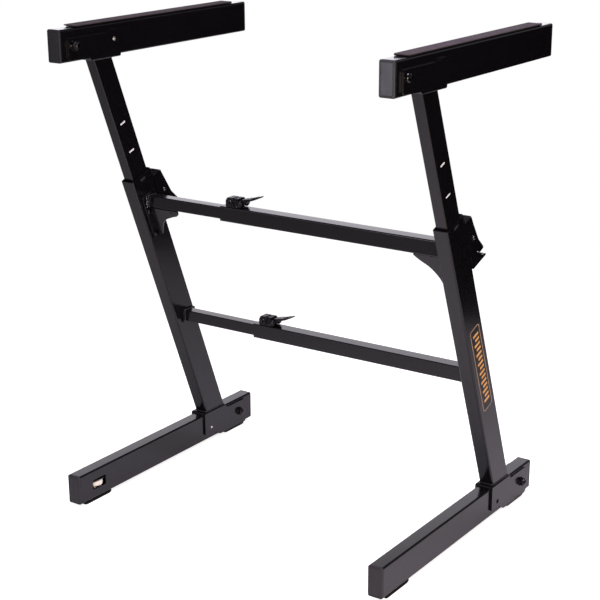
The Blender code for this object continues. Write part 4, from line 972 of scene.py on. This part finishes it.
def makeClamp(tag, axis):
    v = clamp
    y = axis[0]
    low = axis[1] + crossbar["outer"]["size"] / 2 + gap
    x0 = crossbar["outerLeft"] + v["back"]
    x1 = x0 + v["length"]
    top = low + v["height"]
    half = v["depth"] / 2
    pivot = (x0 + v["span"] - v["pinIn"], low + v["pinUp"])
    screw = (x0 + v["screwBack"], low + v["screwUp"])
    # Block: chamfered along its top, with a slit near the ears, a groove across and a pocket round the screw
    section = softened([(y - half, low), (y + half, low), (y + half, top - 2.0), (y + half - 3.0, top),
                        (y - half + 4.6, top), (y - half, top - 3.4)], 0.9, 3)
    tools = []
    for (left, right, up), rear in ((v["slit"], y + half - 5), (v["groove"], y + half + 5)):
        cut = rounded(x0 + left, low + up, x0 + right, top + 5, 0.8, 3)
        tools.append(prism(cut, y - half - 5, rear, "front"))
    tools.append(rod(y - half - 2, y - half + 1.0, screw, v["screwRadius"] + 0.8, "Y"))
    node = tag + "_clamp_body"
    addPiece(node, "block", carved(prism(section, x0, x1), tools), "clampNylon", edge=0.5)
    # Ears, each with a small stud below
    radius = v["earRadius"]
    outline = [(x1 - 1.2, low + 0.6), (pivot[0] + 1.0, low + 0.6), (pivot[0] + 3.6, pivot[1] - 3.2)]
    for degrees in range(-30, 121, 15):
        angle = radians(degrees)
        outline.append((pivot[0] + radius * cos(angle), pivot[1] + radius * sin(angle)))
    outline.append((x1 - 1.2, top - 2.6))
    stud = [(-0.5, 1.0), (0.3, 1.0), (0.5, 0.7), (0.55, 0.3)]
    spot = (pivot[0] - 6.2, low + 2.6)
    for label, side in (("front", -1), ("rear", 1)):
        outside = y + side * (half - v["earIn"])
        ends = sorted((outside, outside - side * v["ear"]))
        addPiece(node, label + "_ear", prism(outline, *ends, "front"), "clampNylon", stands=False, edge=0.5)
        mesh = turned(placed(stud, outside, side), spot, "Y", 20)
        addPiece(node, label + "_stud", mesh, "nickel", stands=False)
    head = v["screwRadius"]
    profile = placed([(-1.5, head), (1.6, head), (2.1, head - 0.3), (2.3, head - 0.9), (2.3, 2.5),
                      (2.0, hexagon(4.0)), (0.2, hexagon(4.0))], y - half + 0.6, -1)
    addPiece(node, "cap_screw", turned(profile, screw, "Y", 42), "blackZinc", stands=False)

    # Lever: a cam barrel and a flared thumb paddle with three grip ridges
    halfLever = v["leverWidth"] / 2
    outline = shifted(softened(v["handle"], 2.4), *pivot)
    node = tag + "_cam_lever"
    radius = v["pin"] / 2
    mesh = carved(prism(outline, y - halfLever, y + halfLever, "front"),
                  [rod(y - 30, y + 30, pivot, radius + 0.25, "Y")])
    addPiece(node, "paddle", mesh, "clampNylon", edge=0.8, sharp=45)
    for index in range(v["grips"]):
        spot = [pivot[i] + v["gripFrom"][i] + v["gripStep"][i] * index for i in (0, 1)]
        ridge = rod(y - halfLever + 2.2, y + halfLever - 2.2, spot, v["gripRadius"], "Y", 16)
        addPiece(node, "grip_%d" % (index + 1), ridge, "clampNylon", stands=False)

    head = [(-0.25, radius), (-0.2, radius + 1.2), (0.5, radius + 1.2), (0.9, radius + 0.8),
            (1.0, radius - 1.0)]
    mesh = turned(twoHeads(head, y, v["pinHalf"]), pivot, "Y", 32)
    addPiece(tag + "_cam_pin", "rivet", mesh, "blackZinc", sharp=45)


for tag, axis in (("upper", upperAxis), ("lower", lowerAxis)):
    makeCrossbar(tag, axis)
    makeClamp(tag, axis)
print("crossbars ready")


# Gussets under the upper crossbar: plates with a swept lower edge
gusset = {"plate": 3.0, "behind": 16.0,
          "left": ((0, -60.1), (4.0, -62.1), (11.2, -57.1), (13.7, -50.1), (19.2, -36.6), (28.2, -26.1),
                   (45.2, -19.1), (57.2, -15.6)),
          "right": ((0, -67.1), (-6.0, -65.1), (-9.05, -57.1), (-12.55, -48.6), (-18.05, -40.1),
                    (-27.55, -29.6), (-43.55, -19.6)),
          "hole": (45.5, -10.5, 2.0)}


def makeGussets(v):
    front = v["behind"]
    rear = front + v["plate"]
    for tag, bar, edge, far, soft in (("left", "inner", plateFace + gap, 59.2, 9.0),
                                      ("right", "outer", rightFace, -54.55, 6.0)):
        top = alongTo(upperAxis[1] - crossbar[bar]["size"] / 2 - gap, rear) - barS
        outline = list(v[tag]) + [(far, top), (0, top)]
        mesh = prism(shifted(softened(outline, soft, 8), edge, barS), front, rear, "plate")
        if tag == "left":
            u, s, radius = v["hole"]
            hole = around((edge + u, barS + s), radius, radius - 0.05)
            mesh = carved(mesh, [prism(hole, front - 3, rear + 3, "plate")])
        addPiece(tag + "_gusset", "web", mesh, "powderCoat", edge=0.4)


makeGussets(gusset)


# Levelling wheel and screw in the left foot, and a dark plate over the wheel that guides the screw and stands
# in for the shade on the wheel's top face
leveller = {"wheel": 28.0, "wheelUp": 18.7, "thickness": 7.8, "teeth": 36, "knurl": 0.5, "screw": 8.0,
            "screwTopUp": 42.7, "foot": 15.0, "pitch": 1.25, "threadDepth": 0.34, "guideHalf": 15.5}


def makeLeveller(v):
    centre = (-halfSpacing, foot["wheelBack"])
    low = footZ + v["wheelUp"]
    high = low + v["thickness"]
    rim = v["wheel"] / 2
    bore = v["screw"] / 2 + 0.25

    def knurled(drop):
        def reach(angle, place):
            return rim - drop - v["knurl"] * (0.5 - 0.5 * cos(v["teeth"] * angle))
        return reach

    profile = [(low, bore), (low, rim - 2.0), (low + 0.2, knurled(0.9)), (low + 0.9, knurled(0.0)),
               (high - 0.9, knurled(0.0)), (high - 0.2, knurled(0.9)), (high, rim - 2.0), (high, bore)]
    mesh = turned(profile, centre, "Z", v["teeth"] * 6, closed=True)
    addPiece("levelling_wheel", "knurled", mesh, "ivoryNylon", sharp=60)

    # The dark plate just over the wheel is painted shade on the wheel's top face; it also guides the screw
    half = v["guideHalf"]
    outline = centred(centre[0], halfBeam - beam["wall"] - 0.1, centre[1] - half, centre[1] + half, 1.0, 3)
    hole = rod(high - 5, high + 5, centre, v["screw"] / 2 + 0.4, "Z")
    mesh = carved(prism(outline, high + 0.4, high + 2.0, "room"), [hole])
    addPiece("left_foot_beam", "wheel_guide_painted_shade", mesh, "powderCoat", stands=False, edge=0.2, stem="left_foot")

    pad = v["foot"] / 2
    top = footZ + v["screwTopUp"]
    thread = v["screw"] / 2 - 0.35
    profile = [(0.0, pad - 1.0), (0.3, pad - 0.3), (0.9, pad), (3.6, pad), (4.3, pad - 0.4),
               (4.65, pad - 1.2), (4.65, thread)]
    profile += threadRun(4.9, top - 0.8, thread, v["threadDepth"], v["pitch"])
    profile += [(top - 0.6, thread - 0.3), (top, thread - 0.9)]
    addPiece("levelling_screw", "thread", turned(profile, centre, "Z", 36), "nickel", sharp=60)


makeLeveller(leveller)
print("gussets and leveller ready")


# Scale decal on the right upright: a keyline and plain graduation bars, as on a ruler
decal = {"s": (209.0, 366.0), "d": (11.0, 40.0), "corner": 5.5, "line": 1.3, "bars": 15, "barWidth": 4.3,
         "long": (18.0, 34.5), "short": (22.0, 34.5), "barsFrom": 352.0, "barsTo": 226.0}


def makeDecal(v):
    face = halfSpacing + halfOuter
    s0, s1 = v["s"]
    d0, d1 = v["d"]
    line = v["line"]
    outer = onTube(rounded(s0, d0, s1, d1, v["corner"], 8))
    inner = onTube(rounded(s0 + line, d0 + line, s1 - line, d1 - line, v["corner"] - line, 8))
    ink = (face + 0.03, face + 0.14)
    layers = [("vinyl", prism(outer, face + 0.01, face + 0.08), "blackVinyl"),
              ("keyline", tube(outer, inner, *ink, "side"), "paleInk")]
    for index in range(v["bars"]):
        s = v["barsFrom"] + (v["barsTo"] - v["barsFrom"]) * index / (v["bars"] - 1)
        bar = centred(s, v["barWidth"] / 2, *v["short" if index % 2 else "long"], 0.8, 4)
        layers.append(("bar_%02d" % (index + 1), prism(onTube(bar), *ink), "amberInk"))
    for part, mesh, finish in layers:
        addPiece("right_upright_outer", part, mesh, finish, stands=False, stem="right_scale")


makeDecal(decal)
print("decal ready")

# Studio: a pale round floor and a room that is white to the camera. Reflections see a bright window low
# behind the stand's left, a dim room elsewhere, and black below the floor's edge.
# Bands are (height of the view direction, brightness); windowEdge is where the window ends and is full.
# Lamps are (name, power, colour, size, spread in degrees, place, what they point at).
studio = {"floorRadius": 2.2, "floorCentre": (-0.6, -0.7, -0.0004), "floorColour": "#f3f0ee",
          "floorLift": 0.8, "roomColour": "#f6f1fa", "plain": 0.37,
          "windowToward": (-0.588, 0.809, 0.0), "windowEdge": (0.78, 0.87), "elsewhere": 0.16,
          "bands": ((0.0, 0.0), (0.03, 2.2), (0.13, 2.4), (0.2, 1.7), (0.26, 1.4), (0.34, 1.35), (0.44, 1.3),
                    (0.49, 0.02), (0.66, 0.02), (0.74, 1.3), (0.84, 1.3), (0.92, 0.02)),
          "lamps": (
              ("overheadSoftbox", 5.0, "#ece5ff", 0.9, 64, (0.25, -0.1, 2.1), (0.12, -0.05, 0.0)),
              ("rightSoftbox", 9.0, "#fff0e2", 0.8, 120, (1.35, -1.3, 0.62), (0.2, -0.1, 0.4)),
              ("leftSoftbox", 0.8, "#ece6ff", 0.6, 120, (-1.0, -1.6, 0.8), (0.0, -0.1, 0.75)),
              ("armEndSoftbox", 0.4, "#f4efff", 0.4, 60, (-0.12, -0.96, 0.65), (0.3, -0.3, 0.75)))}
white = (1, 1, 1, 1)


def makeFloor(v):
    mesh = bpy.data.meshes.new("paleFloor")
    shape = bmesh.new()
    bmesh.ops.create_circle(shape, cap_ends=True, segments=128, radius=v["floorRadius"])
    shape.to_mesh(mesh)
    shape.free()
    floor = addObject("paleFloor", mesh)
    floor.location = v["floorCentre"]
    material = bpy.data.materials.new("paintedFloor")
    material.use_nodes = True
    tree = material.node_tree
    shader = tree.nodes["Principled BSDF"]
    shader.inputs["Base Color"].default_value = hexColour(v["floorColour"])
    shader.inputs["Roughness"].default_value = 0.9
    shader.inputs["Emission Color"].default_value = white
    seen = addNode(tree, "LightPath").outputs["Is Camera Ray"]
    lift = addNode(tree, "Math", {0: seen}, {1: v["floorLift"]}, operation="MULTIPLY")
    tree.links.new(lift.outputs["Value"], shader.inputs["Emission Strength"])
    mesh.materials.append(material)


def makeRoom(v):
    world = bpy.data.worlds.new("whiteRoom")
    world.use_nodes = True
    tree = world.node_tree
    tree.nodes.clear()
    seen = addNode(tree, "LightPath").outputs
    toCamera = seen["Is Camera Ray"]
    direction = addNode(tree, "TexCoord").outputs["Generated"]
    parts = addNode(tree, "SeparateXYZ", {"Vector": direction})
    band = addNode(tree, "ValToRGB", {"Fac": parts.outputs["Z"]})
    ramp = band.color_ramp
    while len(ramp.elements) < len(v["bands"]):
        ramp.elements.new(1.0)
    for stop, (position, level) in zip(ramp.elements, v["bands"]):
        stop.position = position
        stop.color = (level, level, level, 1)
    toward = addNode(tree, "VectorMath", {0: direction}, {1: v["windowToward"]}, operation="DOT_PRODUCT")
    low, high = v["windowEdge"]
    window = addNode(tree, "MapRange", {"Value": toward.outputs["Value"]},
                     {"From Min": low, "From Max": high, "To Min": v["elsewhere"], "To Max": 1.0})
    glow = addNode(tree, "Math", {0: band.outputs["Color"], 1: window.outputs["Result"]},
                   operation="MULTIPLY")
    mirrored = addNode(tree, "Math", {0: seen["Is Glossy Ray"], 1: seen["Is Transmission Ray"]},
                       operation="MAXIMUM")
    room = addNode(tree, "Mix", {"Factor": mirrored.outputs["Value"], "B": glow.outputs["Value"]},
                   {"A": v["plain"]}, data_type="FLOAT")
    level = addNode(tree, "Mix", {"Factor": toCamera, "A": room.outputs["Result"]}, {"B": 1.0},
                    data_type="FLOAT")
    tint = addNode(tree, "Mix", {"Factor": toCamera}, {"A": hexColour(v["roomColour"]), "B": white},
                   data_type="RGBA")
    light = addNode(tree, "Background",
                    {"Strength": level.outputs["Result"], "Color": tint.outputs["Result"]})
    addNode(tree, "OutputWorld", {"Surface": light.outputs["Background"]})
    scene.world = world


def makeLamps(v):
    for name, power, colour, size, spread, spot, target in v["lamps"]:
        data = bpy.data.lights.new(name, "AREA")
        data.energy = power
        data.color = hexColour(colour)[:3]
        data.size = size
        data.spread = radians(spread)
        lamp = addObject(name, data)
        lamp.location = spot
        lamp.rotation_mode = "QUATERNION"
        lamp.rotation_quaternion = (Vector(spot) - Vector(target)).to_track_quat("Z", "Y")
        lamp.visible_camera = False


makeFloor(studio)
makeRoom(studio)
makeLamps(studio)
print("studio ready")
